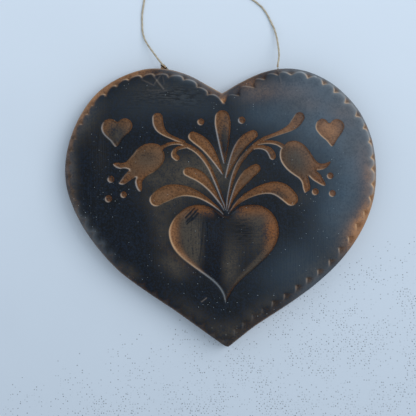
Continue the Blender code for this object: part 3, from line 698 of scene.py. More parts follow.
# looks painted as soft spots: x, y, half sizes, turn in degrees and strength
spots = {
    # coat on the sunk floors, beside that of their kind
    "floor": [
        (1.4, 26, 2, 3.8, 0, 0.95), (1.6, 20.5, 1.5, 3.8, 0, 0.8), (-38.4, 26.6, 3.8, 4.1, 0, 1.1),
        (22.2, 4.6, 2.6, 1.2, -20, 0.5), (27.6, 17, 3.2, 5.6, 35, 0.45), (7.2, 20.4, 2.4, 3.4, -30, 0.45),
        (-40.5, 10.3, 2, 2, 0, 0.3), (-41.4, 3.1, 2.2, 2.2, 0, 0.42), (-35.8, 4.6, 1.6, 1.6, 0, 0.15),
        (-28, 19.4, 4, 1.2, 0, 0.25), (19, 5.2, 3, 1.6, 0, 0.25), (1.9, 4, 2.6, 6, 0, 0.55),
        (2, -1.4, 3.6, 1.6, 0, 0.8), (-37.2, 15.3, 1.6, 0.9, 0, 0.34), (-35.2, 10.6, 1.7, 1.1, 45, 0.26),
        (36.8, 10.4, 1.8, 1.5, 0, 0.14), (18.6, 20, 1.3, 1.6, 0, 0.34), (44.7, 29.6, 1.2, 2.8, 0, 0.3),
        (32, 20.2, 1.2, 2.6, 35, 0.14), (9.2, 24.8, 2.2, 1.6, 0, 0.13), (0.8, 32.2, 2.2, 1.4, 0, 0.26),
        (-17.6, -7.6, 3.1, 7.4, 4, -1), (-13, -1.6, 5.2, 2.4, 28, -0.9), (-7.6, -0.4, 5, 1.6, -16, -0.9),
        (-15.4, -15.2, 4.6, 1.1, -44, -0.85), (-9, -22.2, 4, 0.6, -38, -0.5),
        (19.6, -6.8, 2.8, 7, -4, -1.05), (12.6, -1.6, 7.4, 2.6, -5, -0.95), (17.9, -15, 1.5, 4.2, -32, -0.6),
        (11, -23, 0.9, 8, -42, -0.55), (5.2, -29.4, 0.8, 4, -34, -0.4),
    ],
    # olive film over the coat
    "haze": [
        (-9, 12.8, 14, 7, 0, 0.95), (-19.5, 3, 8, 5, 0, 0.5), (-21.5, -8, 4, 9, 8, 0.42),
        (-17, -22, 5.5, 3.4, -35, 0.65), (-20, 42, 12, 4.6, -8, 0.42), (-34, 38, 9, 8, 30, 0.06),
        (-44, 22, 3, 12, 0, 0.12), (14, 43, 6, 2.6, 15, 0.35), (27, 41, 8, 3, 0, 0.15),
        (-26, 11, 5, 4, 0, 0.3), (3, -47, 7, 4.5, 0, 0.45), (-47, 33, 2.6, 8, -38, 0.16),
        (-50, 30, 4, 9, -25, 0.3), (29, 3.5, 5, 3, 0, 0.25), (47, -10, 4.5, 8, -30, 0.55),
        (-55, 9, 2.4, 18, 0, 0.5), (34, -24, 10, 3, 40, 0.4), (-33.5, -23.5, 4, 2, -40, 0.42),
        (14, -38, 10, 3, 36, 0.35), (-10, -39, 10, 3, -34, 0.3),
    ],
    # the same film on the sunk floors
    "floorHaze": [
        (-28, 17.5, 5.6, 4.4, 0, 0.58), (-32, 12.6, 3, 2.4, 0, 0.4), (-38.4, 27, 4.4, 4.4, 0, 0.62),
        (27.4, 17.4, 4.2, 6.4, 35, 0.9), (33, 12, 3, 2, 0, 0.3), (22, 4.6, 3.2, 1.5, -20, 0.5),
        (6.2, 18, 2.6, 6, -30, 0.55), (9.4, 10, 3, 4.4, -40, 0.45), (-12, 20, 3, 2, -40, 0.2),
        (-10.4, -11, 3.6, 8.5, 0, 1.2), (-14, -7, 2.4, 7, 0, 0.5), (-9.6, -18.5, 2.6, 4.5, 0, 0.5),
        (7, -13, 5, 8, 0, 0.25), (-2.6, -13, 2.2, 12, 0, -0.8), (3.6, -22, 3.2, 7.4, 0, 0.7),
        (14, -10, 3, 8, 0, 0.5), (11, -23, 1.2, 9, -42, 0.8), (12, -4, 8, 2.4, 0, 0.45),
        (-21, 4.6, 3, 1.6, 10, 0.2), (1.2, 27, 1.8, 3.6, 0, 0.45),
    ],
    # coat on the band outside the scallops
    "band": [
        (-46, 40, 12, 12, 45, -0.8), (-34, 49, 7, 3.5, 0, -0.6), (-2.5, 42.5, 4, 1.6, -15, -0.3),
        (10.4, 45.8, 3.6, 1.7, 22, -0.34), (18, 48, 8, 2.5, 20, -0.1), (56.5, 6, 3, 12, 0, -0.35),
        (52, -7, 4, 8, -28, -0.95), (-56, 10, 3, 20, 0, -0.12),
    ],
    # how bare the pockets between two scallops are
    "pocket": [
        (0.8, 39.8, 2.2, 2.2, 0, 1), (42, 43, 12, 8, -40, 0.44), (54, 20, 6, 22, 0, 0.62),
        (52, -6, 6, 10, 0, 0.9), (36, -23, 14, 5, 40, 0.24),
    ],
    # tan, almost bare places on the field
    "tan": [
        (55, 6.5, 3.4, 8, 0, 0.22), (54.8, 12.5, 1.8, 3.4, 0, 0.22), (54, -1, 2.2, 3.4, -20, 0.3),
        (51.4, -6.4, 2.3, 6.6, -30, 0.95), (48.6, -7, 3.2, 8, -28, 0.14), (-56, 16, 2, 14, 0, 0.05),
        (-52, 32, 2, 8, -30, 0.1), (-15.4, -19.2, 7, 1.1, -41, 0.06), (53, 18, 4, 8, 0, 0.12),
        (45, 34, 6, 6, 0, 0.1), (11, 44.6, 3, 1.2, 20, 0.15), (24, 43, 11, 4, 0, 0.12),
        (13.5, 42, 6, 3, 10, 0.12), (34, 38, 5, 3, 0, 0.07),
    ],
    # the same on the sunk floors, and on the band
    "floorTan": [
        (40.3, 28.4, 3.8, 4.2, 0, 0.66), (-18.2, -8, 2, 7.6, 4, 0.6), (-13.8, -17.8, 6.5, 0.8, -41, 0.6),
        (-21, 4.4, 4, 1.6, 12, 0.1), (-13.5, -2.6, 2, 1.6, 0, 0.18), (-8.5, 11.6, 4, 1.4, -25, 0.1),
        (27, 23.5, 3.6, 1, -6, 0.3), (24.2, 28.5, 3.6, 1, 28, 0.36), (20, 26.9, 4, 0.9, 12, 0.2),
    ],
    "bandTan": [
        (-46.5, 41.5, 12, 10, 45, 0.72), (-33.5, 49.8, 7, 3, 0, 0.45), (-56, 24, 3, 8, 0, 0.06),
        (52, -7.5, 3.4, 8, -28, 0.6), (0.8, 39.6, 1.5, 1.5, 0, 0.85), (-8, 46.5, 8, 3, -25, 0.08),
        (10.6, 46, 3.4, 1.5, 22, 0.18), (55.6, 6, 2, 8, 0, 0.12),
    ],
    # coat on the side
    "side": [
        (-46, 42, 14, 14, 45, -0.6), (-24, 52, 10, 6, 0, -0.35), (0, 43, 8, 6, 0, -0.5),
        (14, 50, 10, 5, 20, -0.25), (53, -10, 8, 10, -28, -0.5), (16, -42, 16, 6, 35, -0.3),
        (-40, -22, 16, 8, -40, -0.25),
    ],
    # bare line along the rim
    "rim": [
        (-50, 36, 14, 18, 40, 0.8), (-24, 50, 16, 4, 0, 0.8), (-2, 43.5, 6, 4, 0, 0.95),
        (11, 47, 10, 4, 20, 0.6), (56, -4, 6, 18, 0, 0.35), (-56, 0, 6, 20, 0, 0.22),
        (-40, -20, 16, 8, -40, 0.4), (16, -42, 16, 6, 35, 0.45), (-14, -40, 16, 5, -35, 0.35),
    ],
    # how orange the bare wax is
    "warm": [
        (-46, 40, 10, 10, 45, 0.05), (52, -6, 7, 11, 0, 0.5), (-18, -10, 3.4, 12, 0, 0.2),
        (18.5, -5, 5, 10, 0, 0.55), (-8, 0, 6, 3, 0, 0.35), (10, 0, 8, 3, 0, 0.3), (1, 40, 3, 3, 0, 0.5),
        (-27, 17, 8, 8, 0, -0.3), (27, 17, 6, 7, 0, -0.2), (-38, 28, 6, 6, 0, -0.25),
        (40.3, 28.6, 6, 6, 0, -0.1), (0, 30, 4, 4, 0, -0.15), (-20, 3, 6, 4, 0, -0.25),
        (-30, 10, 6, 5, 0, 0.35), (35, 10, 6, 5, 0, 0.35), (10, -22, 5, 9, -42, -0.8),
    ],
    # painted sheen: a pale blue-grey reflection of the window light painted on the coat, strongest to the
    # upper right
    "paintedSheen": [
        (40, 34, 18, 16, -30, 0.95), (51, 14, 9, 16, 0, 0.6), (28, 45, 12, 4.5, 0, 0.4),
        (11, 42, 6, 3, 20, 0.25), (43, -2, 9, 12, 0, 0.5), (28, -22, 14, 9, 30, 0.32),
        (16, 35, 10, 6, 0, 0.35), (-10, 39, 12, 6, -20, 0.19), (-12, 48.5, 9, 2.6, -18, 0.35),
        (-51, 33, 3, 9, -32, 0.34), (-56.4, 14, 2.4, 14, 0, 0.36), (1, 44, 6, 3, 0, 0.3),
        (-30, 38, 14, 8, 0, 0.14), (35, -29, 14, 2.2, 40, 0.35),
    ],
    # painted highlight along the scallop edges and on the band, lighter than the painted sheen
    "edgeSheen": [
        (30, 50, 14, 3, -15, 0.62), (46, 41, 12, 4, -48, 0.78), (55.5, 24, 3.4, 12, 8, 0.8),
        (56.5, 8, 3, 10, 0, 0.7), (-4, 44.5, 6, 1.6, -28, 0.25), (-13, 48.8, 9, 2.2, -18, 0.35),
        (-47.5, -9, 3.2, 13, 38, 0.42), (40, -22, 20, 2, 42, 0.14),
    ],
    # where the pale edges, painted highlights and rubbed wax alike, are cool blue-grey, as a painted
    # reflection on the coat
    "cool": [
        (1.8, 7, 5.5, 9, 0, 0.85), (-0.6, 24, 2.2, 6, 0, 0.9), (4.4, 20, 3.4, 6, -30, 0.7),
        (6.4, 31.6, 1.2, 1.6, 0, 0.9), (-31.5, 7.5, 3, 4, 0, 0.6), (-46, -11, 4, 12, 38, 0.5),
        (-37, 12.5, 4, 5, 0, 0.4), (-43.5, 28, 3, 5, 0, 0.5), (-24.6, 31, 2, 3, 0, 0.4),
        (16.5, 20, 4, 2.6, 0, 0.5), (-17.2, -13, 3.4, 9, 10, -0.7), (-12.5, -20, 5, 2.4, -40, -0.5),
    ],
    # where the painted edge highlights stand out more or less
    "edge": [
        (-38, 28, 7, 7, 0, -0.2), (-46, 40, 12, 12, 45, -0.2), (24, 16, 4, 9, 0, 0.3),
        (-18, -12, 4, 10, 10, 0.3), (-6, -26, 8, 6, -38, 0.2),
    ],
    # brown line along the scallops
    "line": [(-55, 12, 4, 20, 0, 0.5), (-49, 36, 8, 12, -40, 0.8), (-28, 48, 14, 3, 0, 0.5)],
    # dry brush strokes left to right, and up and down
    "across": [
        (-15, 42, 16, 6, 0, 0.68), (-8, 30, 14, 10, 0, 0.5), (-34, 38, 12, 8, 20, 0.45),
        (8, -9, 7, 8, 0, 0.9), (-27, 18.5, 6, 4, 0, 0.6),
    ],
    "up": [
        (-44, 22, 6, 20, 0, 0.9), (-9, -12, 5, 12, 0, 1), (-22, -16, 7, 12, 0, 0.4), (27, 17, 6, 6, 0, 0.6),
        (9, -12, 8, 12, 0, 0.8), (10, 38, 10, 6, 0, 0.5), (-10, 12, 12, 8, 0, 0.3), (40, 5, 14, 12, 0, 0.4),
        (-50, -8, 8, 14, 0, 0.7), (30, -20, 16, 12, 0, 0.6),
    ],
    # where dust has settled
    "dust": [
        (-3, -36.5, 4, 3.4, 0, 1.7), (6.5, -33, 1.2, 0.9, 0, 1.5), (16.5, 38.5, 3, 1.6, 0, 0.9),
        (-46, 2, 8, 14, 0, 0.85), (6, -44, 10, 6, 0, 0.3), (36, 2, 10, 10, 0, 0.15), (-26, -3, 2, 1.6, 0, 1),
        (24, -20, 10, 8, 0, 0.2), (-40, 10, 6, 6, 0, 0.4), (37, -10, 3, 2.4, 0, 0.6),
        (-24, -24, 12, 5, -35, 0.3),
    ],
}

# mesh of the heart


def nearScratches(points):
    # height that scratches and ridges add at each point, and the coat that lies in them
    added, coated = np.zeros(len(points)), np.zeros(len(points))
    for x0, y0, x1, y1, half, rise, coat in scratches:
        gaps = -insideStroke(points, np.array([[x0, y0, 0.0], [x1, y1, 0.0]]), 1.5)
        share = np.exp(-((gaps / half) ** 2))
        added += rise * share
        coated += coat * share
    return added, coated


def facePoints():
    # points for the carved face: rings that follow every edge, and a plain lattice between them
    slack = 0.07  # a ring's point that lies further off is left out, as another edge is nearer
    rings = []
    for number, name in enumerate(motifNames):
        ring = evenly(motifs[name][0], heart["ringGap"])
        normals = outwards(ring)
        for inside in heart["motifRings"]:
            moved = ring - normals * inside
            rings.append((moved, np.full(len(moved), number), np.full(len(moved), inside)))
    points, owner, offset = (np.concatenate(parts) for parts in zip(*rings))
    depths = insideMotifs(points)
    own = depths[owner, np.arange(len(points))]
    depths[owner, np.arange(len(points))] = -far
    kept = [points[(np.abs(own - offset) < slack) & (depths.max(axis=0) < 0.5)]]
    for ring, gap, insides in (
        (scallops, heart["ringGap"], heart["scallopRings"]),
        (outline, heart["outlineGap"], heart["rimRings"]),
    ):
        even = evenly(ring, gap)
        normals = outwards(even)
        for inside in insides:
            moved = even - normals * inside
            kept.append(moved[np.abs(insideOf(moved, ring) - inside) < slack])
    for x0, y0, x1, y1, half, rise, coat in scratches:
        ends = np.array([[x0, y0], [x1, y1]])
        along = evenly(ends, 0.3, closed=False)
        way = (ends[1] - ends[0]) / np.linalg.norm(ends[1] - ends[0])
        for side in heart["scratchRows"]:
            kept.append(along + leftOf(way) * side * half)
    gap = heart["latticeGap"]
    toRim, toMotifs, toScallops = heart["latticeClear"]
    xs = np.arange(-58.0, 58.0, gap)
    ys = np.arange(-52.0, 52.0, gap * math.sqrt(0.75))
    lattice = np.stack(np.meshgrid(xs, ys), axis=2)
    lattice[1::2, :, 0] += gap / 2
    lattice = lattice.reshape(-1, 2)
    lattice = lattice[insideOf(lattice, outline) > toRim]
    lattice = lattice[(np.abs(insideMotifs(lattice)) > toMotifs).all(axis=0)]
    kept.append(lattice[np.abs(insideOf(lattice, scallops)) > toScallops])
    everything = np.concatenate(kept)
    everything = everything[insideOf(everything, outline) > 0.02]
    # no two points in one small cell, so that no sliver triangle forms
    cells = np.round(everything / heart["leastGap"]).astype(int)
    first = np.unique(cells[:, 0] * 100000 + cells[:, 1], return_index=True)[1]
    return everything[np.sort(first)]


def pocketShare(points):
    # how much of the drop to the band each point takes, and how near it is to a point between two scallops
    share, pocket = np.zeros(len(points)), np.zeros(len(points))
    nearest = np.full(len(points), far)
    for rise, blunt, tilt, square, between, full, cusps in scallopRuns:
        size = 2.0 if between < 0.2 else 1.7
        for cusp in cusps:
            gaps = np.linalg.norm(points - cusp, axis=1)
            close = np.exp(-((gaps / size) ** 4))
            share = np.where(gaps < nearest, full * (between + (1 - between) * close), share)
            pocket = np.where(gaps < nearest, close, pocket)
            nearest = np.minimum(gaps, nearest)
    return share, pocket


def faceHeight(points):
    # height of the carved face in millimetres, with what the looks need to know of each point
    x, y = points[:, 0], points[:, 1]
    inOutline = np.maximum(insideOf(points, outline), 0)
    inScallops = insideOf(points, scallops)
    inMotifs = insideMotifs(points)
    # walls that face away from the light are steeper
    step = 0.2
    facing = (insideMotifs(points + step * np.array(wearAndLight["lightFrom"])) - inMotifs) / step
    # the vase is shallow where the stems meet it
    notch = np.exp(-(((x - 2.3) / 4.0) ** 2) - ((y + 2.0) / 3.0) ** 2)
    # the field falls off towards the scallops, and nothing is quite flat
    field = heart["thickness"] - 0.16 * np.exp(-np.maximum(inScallops, 0) / 1.5)
    field = field + 0.03 * np.sin(x / 6.1 + 1.0) * np.cos(y / 7.3) + 0.02 * np.sin((x + y) / 2.9)
    band = heart["bandLevel"] + 0.04 * np.sin(x / 3.1) * np.sin(y / 2.7)
    share, pocket = pocketShare(points)
    outer = 1 - easeIn(inScallops, -0.35, 0.6)
    height = band + (field - band) * (1 - outer * share)
    sunk, wall, owner = np.zeros(len(points)), np.zeros(len(points)), np.full(len(points), -1)
    for number, name in enumerate(motifNames):
        depth, width, swell, reach = cuts[kindOf(name)]
        inside = inMotifs[number]
        width = 0.45 + (width - 0.45) * asShare(facing[number] / 2 + 0.5)
        if name == "vaseHeart":
            depth = depth * (1 - 0.75 * notch)
            width = width + 1.2 * notch
        down = easeIn(inside, -0.08, width)
        drop = depth * down - swell * (1 - np.exp(-np.maximum(inside - width, 0) / reach))
        deeper = drop > sunk
        sunk = np.where(deeper, drop, sunk)
        wall = np.where(deeper, down, wall)
        owner = np.where(deeper, number, owner)
    added, coated = nearScratches(points)
    height = height - sunk + added
    radius = heart["rimRadius"]
    rim = np.clip(radius - inOutline, 0, radius)
    height = height - (radius - np.sqrt(radius**2 - rim**2))
    # the rim keeps one level all round, so that the side can be drawn down from it
    level = heart["bandLevel"] - radius
    height = level + (height - level) * easeIn(inOutline, 0.0, 0.15)
    return height, {
        "inOutline": inOutline, "inScallops": inScallops, "wall": wall, "owner": owner, "share": share,
        "outer": outer, "pocket": pocket, "coated": coated,
    }


def heartMesh():
    flat = np.concatenate([outline, facePoints()])
    rim = [list(range(len(outline)))]
    made = geometry.delaunay_2d_cdt([Vector(p) for p in flat], [], rim, 1, 1e-6)
    flat = np.array([tuple(p) for p in made[0]])
    height, known = faceHeight(flat)
    return flat, made[2], height, known


flat, triangles, height, known = heartMesh()
print(f"carved face: {len(flat)} points, {len(triangles)} triangles")


def faceNormals(points, triangles):
    # unit normals at the points of the carved face
    corners = np.array(triangles)
    a, b, c = (points[corners[:, i]] for i in range(3))
    faces = np.cross(b - a, c - a)
    normals = np.zeros_like(points)
    for i in range(3):
        np.add.at(normals, corners[:, i], faces)
    normals = unitRows(normals)
    return normals * np.sign(normals[:, 2:])


def surfaceLooks(points, normals, inOutline, inScallops, wall, owner, share, outer, pocket, coated):
    # the masks that the wax finish reads, one value of each for every point
    painted = {name: patches(points, ellipses) for name, ellipses in spots.items()}
    kinds = [kindOf(motifNames[i]) if i >= 0 else "" for i in owner]
    floorBase = np.array([wearAndLight["floorBlack"].get(kind, 0.0) for kind in kinds])
    floor = np.clip(floorBase + painted["floor"], 0.03, 0.99)
    bareBand = painted["band"] - pocket * asShare(painted["pocket"])
    band = np.clip(wearAndLight["bandBlack"] + bareBand, 0.04, 1)
    rim = easeIn(0.6 - inOutline, 0.0, 0.4) * asShare(painted["rim"])
    black = 1 - (1 - band) * easeIn(outer, 0.0, 0.45)
    black = black + (floor - black) * easeIn(wall, 0.0, 0.4)
    black = asShare(black * (1 - 0.9 * rim) + np.maximum(coated, 0))
    # painted light: walls turned to the light get a painted highlight, walls turned away a painted glow
    towards = (normals[:, :2] @ np.array(wearAndLight["lightFrom"])) / wearAndLight["fullSlope"]
    lit, unlit = asShare(towards), asShare(-towards)
    wallBand = 4 * wall * (1 - wall)
    stepBand = 4 * outer * (1 - outer) * share
    edgeSheen = asShare(painted["edgeSheen"])
    # the pale edge is a painted highlight on walls and scallop steps that face the light
    pale = lit * (wallBand * (1 - 0.45 * floor) + stepBand * np.clip(1.25 - band + edgeSheen, 0.25, 1))
    pale = pale * (1 + painted["edge"])
    # where the edge sheen is painted, lobes get a painted highlight near their outer edge; scratches are
    # pale too, where the coat is rubbed off
    shoulder = (1 - outer) * np.exp(-np.maximum(inScallops, 0) / 1.1)
    scratched = asShare(-coated)
    pale = asShare(pale + 0.5 * rim + edgeSheen * (0.55 * outer * (1 - 0.5 * pocket) + 0.75 * shoulder))
    line = painted["line"] * np.exp(-(((inScallops + 0.1) / 0.55) ** 2))
    outside = 1 - easeIn(wall, 0.2, 0.8)
    clean = 1 - asShare(coated)
    tan = painted["tan"] * outside + painted["floorTan"] * (1 - outside)
    tan = asShare(tan + outer * painted["bandTan"] + 0.35 * line)
    # walls that face away from the light get a painted glow: lighter and more orange than their shade would
    # be
    shadedWallGlow = np.array([0.55 if kind in ("tulip", "smallHeart") else 0.42 for kind in kinds])
    tan = asShare(tan + shadedWallGlow * unlit * wallBand * (1 - 0.7 * floor) + 0.3 * scratched)
    # pale edges over the coat take the cool tint of a painted reflection
    cool = black * (1 - tan) * (1 - 0.6 * pocket * stepBand) + painted["cool"]
    haze = (wearAndLight["haze"] + painted["haze"]) * outside + 0.5 * line + painted["floorHaze"] * (1 - outside)
    notchPocket = np.exp(-((points[:, 0] - 0.8) / 3) ** 2)
    return {
        "blackCoat": black,
        "coolEdge": asShare(cool),
        # orange of the bare wax, plus a painted glow on walls turned away from the light
        "warmWax": asShare(wearAndLight["warmth"] + painted["warm"] + 0.7 * unlit * np.sqrt(wallBand)),
        "paleHighlightAndWear": asShare(pale + 0.4 * scratched),
        "haze": asShare(haze + 2.4 * scratched) * clean,
        # painted sheen: the window's reflection, weaker on the sunk floors and none in the pockets
        "paintedSheen": asShare(painted["paintedSheen"]) * (0.25 + 0.75 * outside) * (1 - outer * pocket),
        "tan": tan * clean * (1 - 0.65 * outer * pocket * (1 - notchPocket)),
        "brushAcross": asShare(painted["across"]),
        "brushUp": asShare(painted["up"]),
        "dustFall": np.clip(wearAndLight["dust"] + painted["dust"], 0, 2.5),
    }


# colours of the wax, of its painted sheen and painted highlights, and its roughness
finish = {
    "bareWax": ("#654f3a", "#744723"),  # brown and orange
    "coat": ("#0f1b2b", "#03080f"),  # in the pits and between them
    # colours of the painted sheen, a reflection of the window light
    "paintedSheen": ("#4e5964", "#465a6b"),  # some places are bluer
    "haze": "#453f38",
    "tan": "#986f51",
    "dashes": "#0a0e14",
    "highlightAndRubTints": ("#c6a482", "#9aa2aa"),  # where the wax is bare, and where the coat is on
    "dust": "#a9b6bf",
    "roughness": (0.34, 0.44),
}


# beeswax with a rubbed black coat: satin, blue-black on the high places, caramel wax bare in the carving; a
# blue-grey sheen and pale edge highlights are painted into its colour
def waxMaterial(masks):
    made, tree = newMaterial("blackenedBeeswax")
    place = addNode(tree, "TexCoord", output="Object")
    masks = {name: addNode(tree, "Attribute", output="Fac", attribute_name=name) for name in masks}
    # noises: grain in millimetres, detail, and the span that is read as a share from 0 to 1; brush hairs lie
    # 0.5 mm apart and run 16 mm, and the pits of the wax, really 0.1 to 0.3 mm, are drawn at 0.6 mm to show
    noises, shares = {}, {}
    for name, grain, detail, low, high in (
        ("hairAcross", (16.0, 0.55, 3.0), 3.0, 0.36, 0.66), ("hairUp", (0.55, 16.0, 3.0), 3.0, 0.36, 0.66),
        ("pits", (0.62, 0.62, 0.62), 2.0, 0.34, 0.58), ("dashes", (3.0, 0.5, 3.0), 2.0, 0.53, 0.44),
        ("mottle", (4.5, 4.5, 4.5), 4.0, 0.32, 0.68), ("cloud", (17.0, 17.0, 17.0), 3.0, 0.32, 0.68),
    ):
        spread = addNode(tree, "Mapping", {"Vector": place, "Scale": [1 / (size * mm) for size in grain]})
        noises[name] = addNode(
            tree, "TexNoise", {"Vector": spread, "Scale": 1.0, "Detail": detail, "Roughness": 0.6}
        )
        shares[name] = addNode(tree, "MapRange", [noises[name], low, high])

    # streaks: the brush lines of both ways where each is strong, around 0.5
    turned = addNode(tree, "Mix", [masks["brushUp"], shares["mottle"], shares["hairUp"]])
    streak = addNode(tree, "Mix", [masks["brushAcross"], turned, shares["hairAcross"]])

    # the coat's edge is broken up by streaks and pits, but full coat and bare wax stay clean
    both = addNode(tree, "Math", [streak, shares["pits"]], operation="ADD")
    broken = addNode(tree, "MapRange", [both, 0.3, 1.7, 1.0, -1.0])
    full = masks["blackCoat"]
    part = addNode(tree, "Math", [1.0, full], operation="SUBTRACT")
    for factor in (full, 0.95):
        part = addNode(tree, "Math", [part, factor], operation="MULTIPLY")
    cover = addNode(tree, "Math", [part, broken, full], operation="MULTIPLY_ADD", use_clamp=True)

    brown, orange = finish["bareWax"]
    wax = addNode(tree, "Mix", [masks["warmWax"], brown, orange], data_type="RGBA")
    shade = addNode(tree, "MapRange", [shares["cloud"], 0.0, 1.0, 0.86, 1.14])
    pitted = addNode(tree, "MapRange", [shares["pits"], 0.0, 1.0, 0.54, 1.12])
    shade = addNode(tree, "Math", [shade, pitted], operation="MULTIPLY")
    wax = addNode(tree, "VectorMath", [wax, shade], operation="SCALE")
    pit, coat = finish["coat"]
    black = addNode(tree, "Mix", [shares["pits"], pit, coat], data_type="RGBA")
    colour = addNode(tree, "Mix", [cover, wax, black], data_type="RGBA")

    # films over the coat, and the painted sheen: mask, colour, and how far the streaks break it up
    grey, blue = finish["paintedSheen"]
    paintedSheen = addNode(tree, "Mix", [shares["cloud"], grey, blue], data_type="RGBA")
    for name, tint, low, high in (
        ("haze", finish["haze"], 0.4, 1.3), ("paintedSheen", paintedSheen, 0.78, 1.14), ("tan", finish["tan"], 0.6, 1.25),
    ):
        uneven = addNode(tree, "MapRange", [broken, 0.8, -0.8, low, high])
        film = addNode(tree, "Math", [masks[name], uneven], operation="MULTIPLY", use_clamp=True)
        colour = addNode(tree, "Mix", [film, colour, tint], data_type="RGBA")

    # short dark dashes where the strokes left to right are strongest
    strong = addNode(tree, "MapRange", [masks["brushAcross"], 0.5, 0.85])
    for factor in (shares["dashes"], 0.85):
        strong = addNode(tree, "Math", [strong, factor], operation="MULTIPLY")
    colour = addNode(tree, "Mix", [strong, colour, finish["dashes"]], data_type="RGBA")

    # pale edges: painted highlights where walls face the light, and rubbed wax on the rim and scratches;
    # warm where the wax is bare, cool where the coat is on
    warm, cool = finish["highlightAndRubTints"]
    paleTint = addNode(tree, "Mix", [masks["coolEdge"], warm, cool], data_type="RGBA")
    paleShare = addNode(tree, "Math", [masks["paleHighlightAndWear"], 0.88], operation="MULTIPLY")
    colour = addNode(tree, "Mix", [paleShare, colour, paleTint], data_type="RGBA")

    # dust: pale specks, really under 0.1 mm and drawn up to 0.27 mm wide
    likely = addNode(tree, "Math", [masks["dustFall"], 0.9], operation="MULTIPLY")
    speck = addSpecks(tree, place, 0.85, likely, 0.16, 0.09, 2.4)
    colour = addNode(tree, "Mix", [speck, colour, finish["dust"]], data_type="RGBA")

    rough = addNode(tree, "MapRange", [streak, 0.0, 1.0, *finish["roughness"]])
    relief = addNode(tree, "Math", [noises["pits"], 0.6, streak], operation="MULTIPLY_ADD")
    bump = addNode(tree, "Bump", {"Strength": 0.3, "Distance": 0.15 * mm, "Height": relief})
    shader = addNode(
        tree, "BsdfPrincipled",
        {"Base Color": colour, "Roughness": rough, "IOR": 1.44, "Specular IOR Level": 0.15, "Normal": bump},
    )
    addNode(tree, "OutputMaterial", {"Surface": shader})
    return made


def waxHeart():
    mesh = bpy.data.meshes.new("waxHeart")
    points = np.concatenate([plan(flat), height[:, None] * mm], axis=1)
    mesh.from_pydata(points.tolist(), [], [tuple(t) for t in triangles])
    normals = faceNormals(np.concatenate([flat, height[:, None]], axis=1), triangles)
    masks = surfaceLooks(flat, normals, **known)
    for name, values in masks.items():
        paint(mesh, name, values)
    made = openMesh("waxHeart", mesh)
    bpy.ops.mesh.normals_make_consistent(inside=False)
    # the rim is drawn down in steps to the rounded back edge, then closed; each step has its level and how
    # much wider than the rim it is
    rimLevel = heart["bandLevel"] - heart["rimRadius"]
    under = rimLevel - 0.35
    widths = [(rimLevel, 0.0), (under, 0.03)]
    steps = 6
    for k in range(1, steps + 1):
        widths.append((under + (heart["backRadius"] - under) * k / steps, heart["sideDraft"] * k / steps))
    widths += [(0.12, heart["sideDraft"] - 0.12), (0.0, heart["sideDraft"] - 0.4)]
    sizes = [(level, 1 + wider / heart["halfWidth"]) for level, wider in widths]
    for (before, size), (level, wanted) in zip(sizes, sizes[1:]):
        drawDown(before - level, wanted / size, center_override=(0, 0, 0))
    selectRim()
    bpy.ops.mesh.edge_face_add()
    bpy.ops.mesh.inset(thickness=1.6 * mm)
    bpy.ops.transform.translate(value=(0, 0, 0.1 * mm))
    closeMesh()
    # all but the flat back is smooth
    for face in made.data.polygons:
        face.use_smooth = face.center.z > 0.2 * mm or abs(face.normal.z) < 0.9
    # the side and the back have looks of their own: the coat is thin there and wax shows through
    places = np.array([tuple(v.co) for v in mesh.vertices]) / mm
    below = easeIn(rimLevel - places[:, 2], 0.0, 1.2)
    bare = -patches(places, spots["side"])
    # the side gets a little painted sheen as well
    side = {"blackCoat": 0.72 - bare, "warmWax": 0.55, "tan": 0.5 * bare, "paintedSheen": 0.1}
    for name in masks:
        if name == "coolEdge":  # it shows only where an edge is pale
            continue
        values = np.zeros(len(places))
        layer = mesh.attributes[name].data
        layer.foreach_get("value", values)
        layer.foreach_set("value", values * (1 - below) + asShare(side.get(name, 0.0)) * below)
    made.data.materials.append(waxMaterial(masks))
    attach(made, "ornament")
    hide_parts("wax_heart")
    return made


waxHeartPiece = waxHeart()
print(f"heart closed: {len(waxHeartPiece.data.polygons)} faces")

# thin web of wax that ran out under the thread where it leaves on the left, in millimetres

web = {
    # the last two points and the first lie inside the heart
    "plan": [
        (-22.35, 50.7), (-22.25, 52.1), (-22.05, 52.95), (-21.75, 53.2), (-21.3, 52.8), (-20.6, 52.15),
        (-19.8, 51.6), (-19.2, 50.9), (-20.8, 50.6),
    ],
    "under": 2.6,
    "edge": 4.45,
    "rises": (0.3, 0.15),
    "slope": 0.25,  # how wide each rise is
    "taper": 0.8,
    # its pale share is painted light against the shadow of the thread
    "looks": {"warmWax": 0.5, "paleHighlightAndWear": 0.5},  # bare wax, a little rubbed
}


def waxWeb():
    ring = smoothLine(web["plan"], 3, closed=True)
    mesh = bpy.data.meshes.new("waxWeb")
    mesh.from_pydata([(x, y, web["edge"] * mm) for x, y in plan(ring)], [], [tuple(range(len(ring)))])
    made = openMesh("waxWeb", mesh)
    for rise in web["rises"]:
        bpy.ops.mesh.inset(thickness=web["slope"] * mm)
        bpy.ops.transform.translate(value=(0, 0, rise * mm))
    drawDown(web["edge"] - web["under"], web["taper"])
    bpy.ops.mesh.edge_face_add()
    closeMesh()
    bpy.ops.object.shade_smooth()
    for name, value in web["looks"].items():
        paint(mesh, name, np.full(len(mesh.vertices), value))
    made.data.materials.append(waxHeartPiece.data.materials[0])
    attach(made, "ornament")
    return made


waxWebPiece = waxWeb()
print(f"wax web: {len(waxWebPiece.data.polygons)} faces")

# floor and lights

studio = {
    # colour of the board far off and near: a painted fall-off of the light
    "floorFarLit": "#d8e3f1",
    "floorNearShaded": "#c2cddb",
    "crumbs": "#5b6066",
    "worldColour": (0.86, 0.94, 1.0),
    "worldStrength": 0.62,
    # lamps: place, size across, power and colour
    "lamps": {
        "windowLight": ((0.92, 0.38, 1.12), 0.9, 6.6, (1.0, 0.98, 0.95)),
        "skyPanel": ((0.30, 0.12, 1.15), 0.6, 2.7, (0.86, 0.95, 1.0)),
    },
}
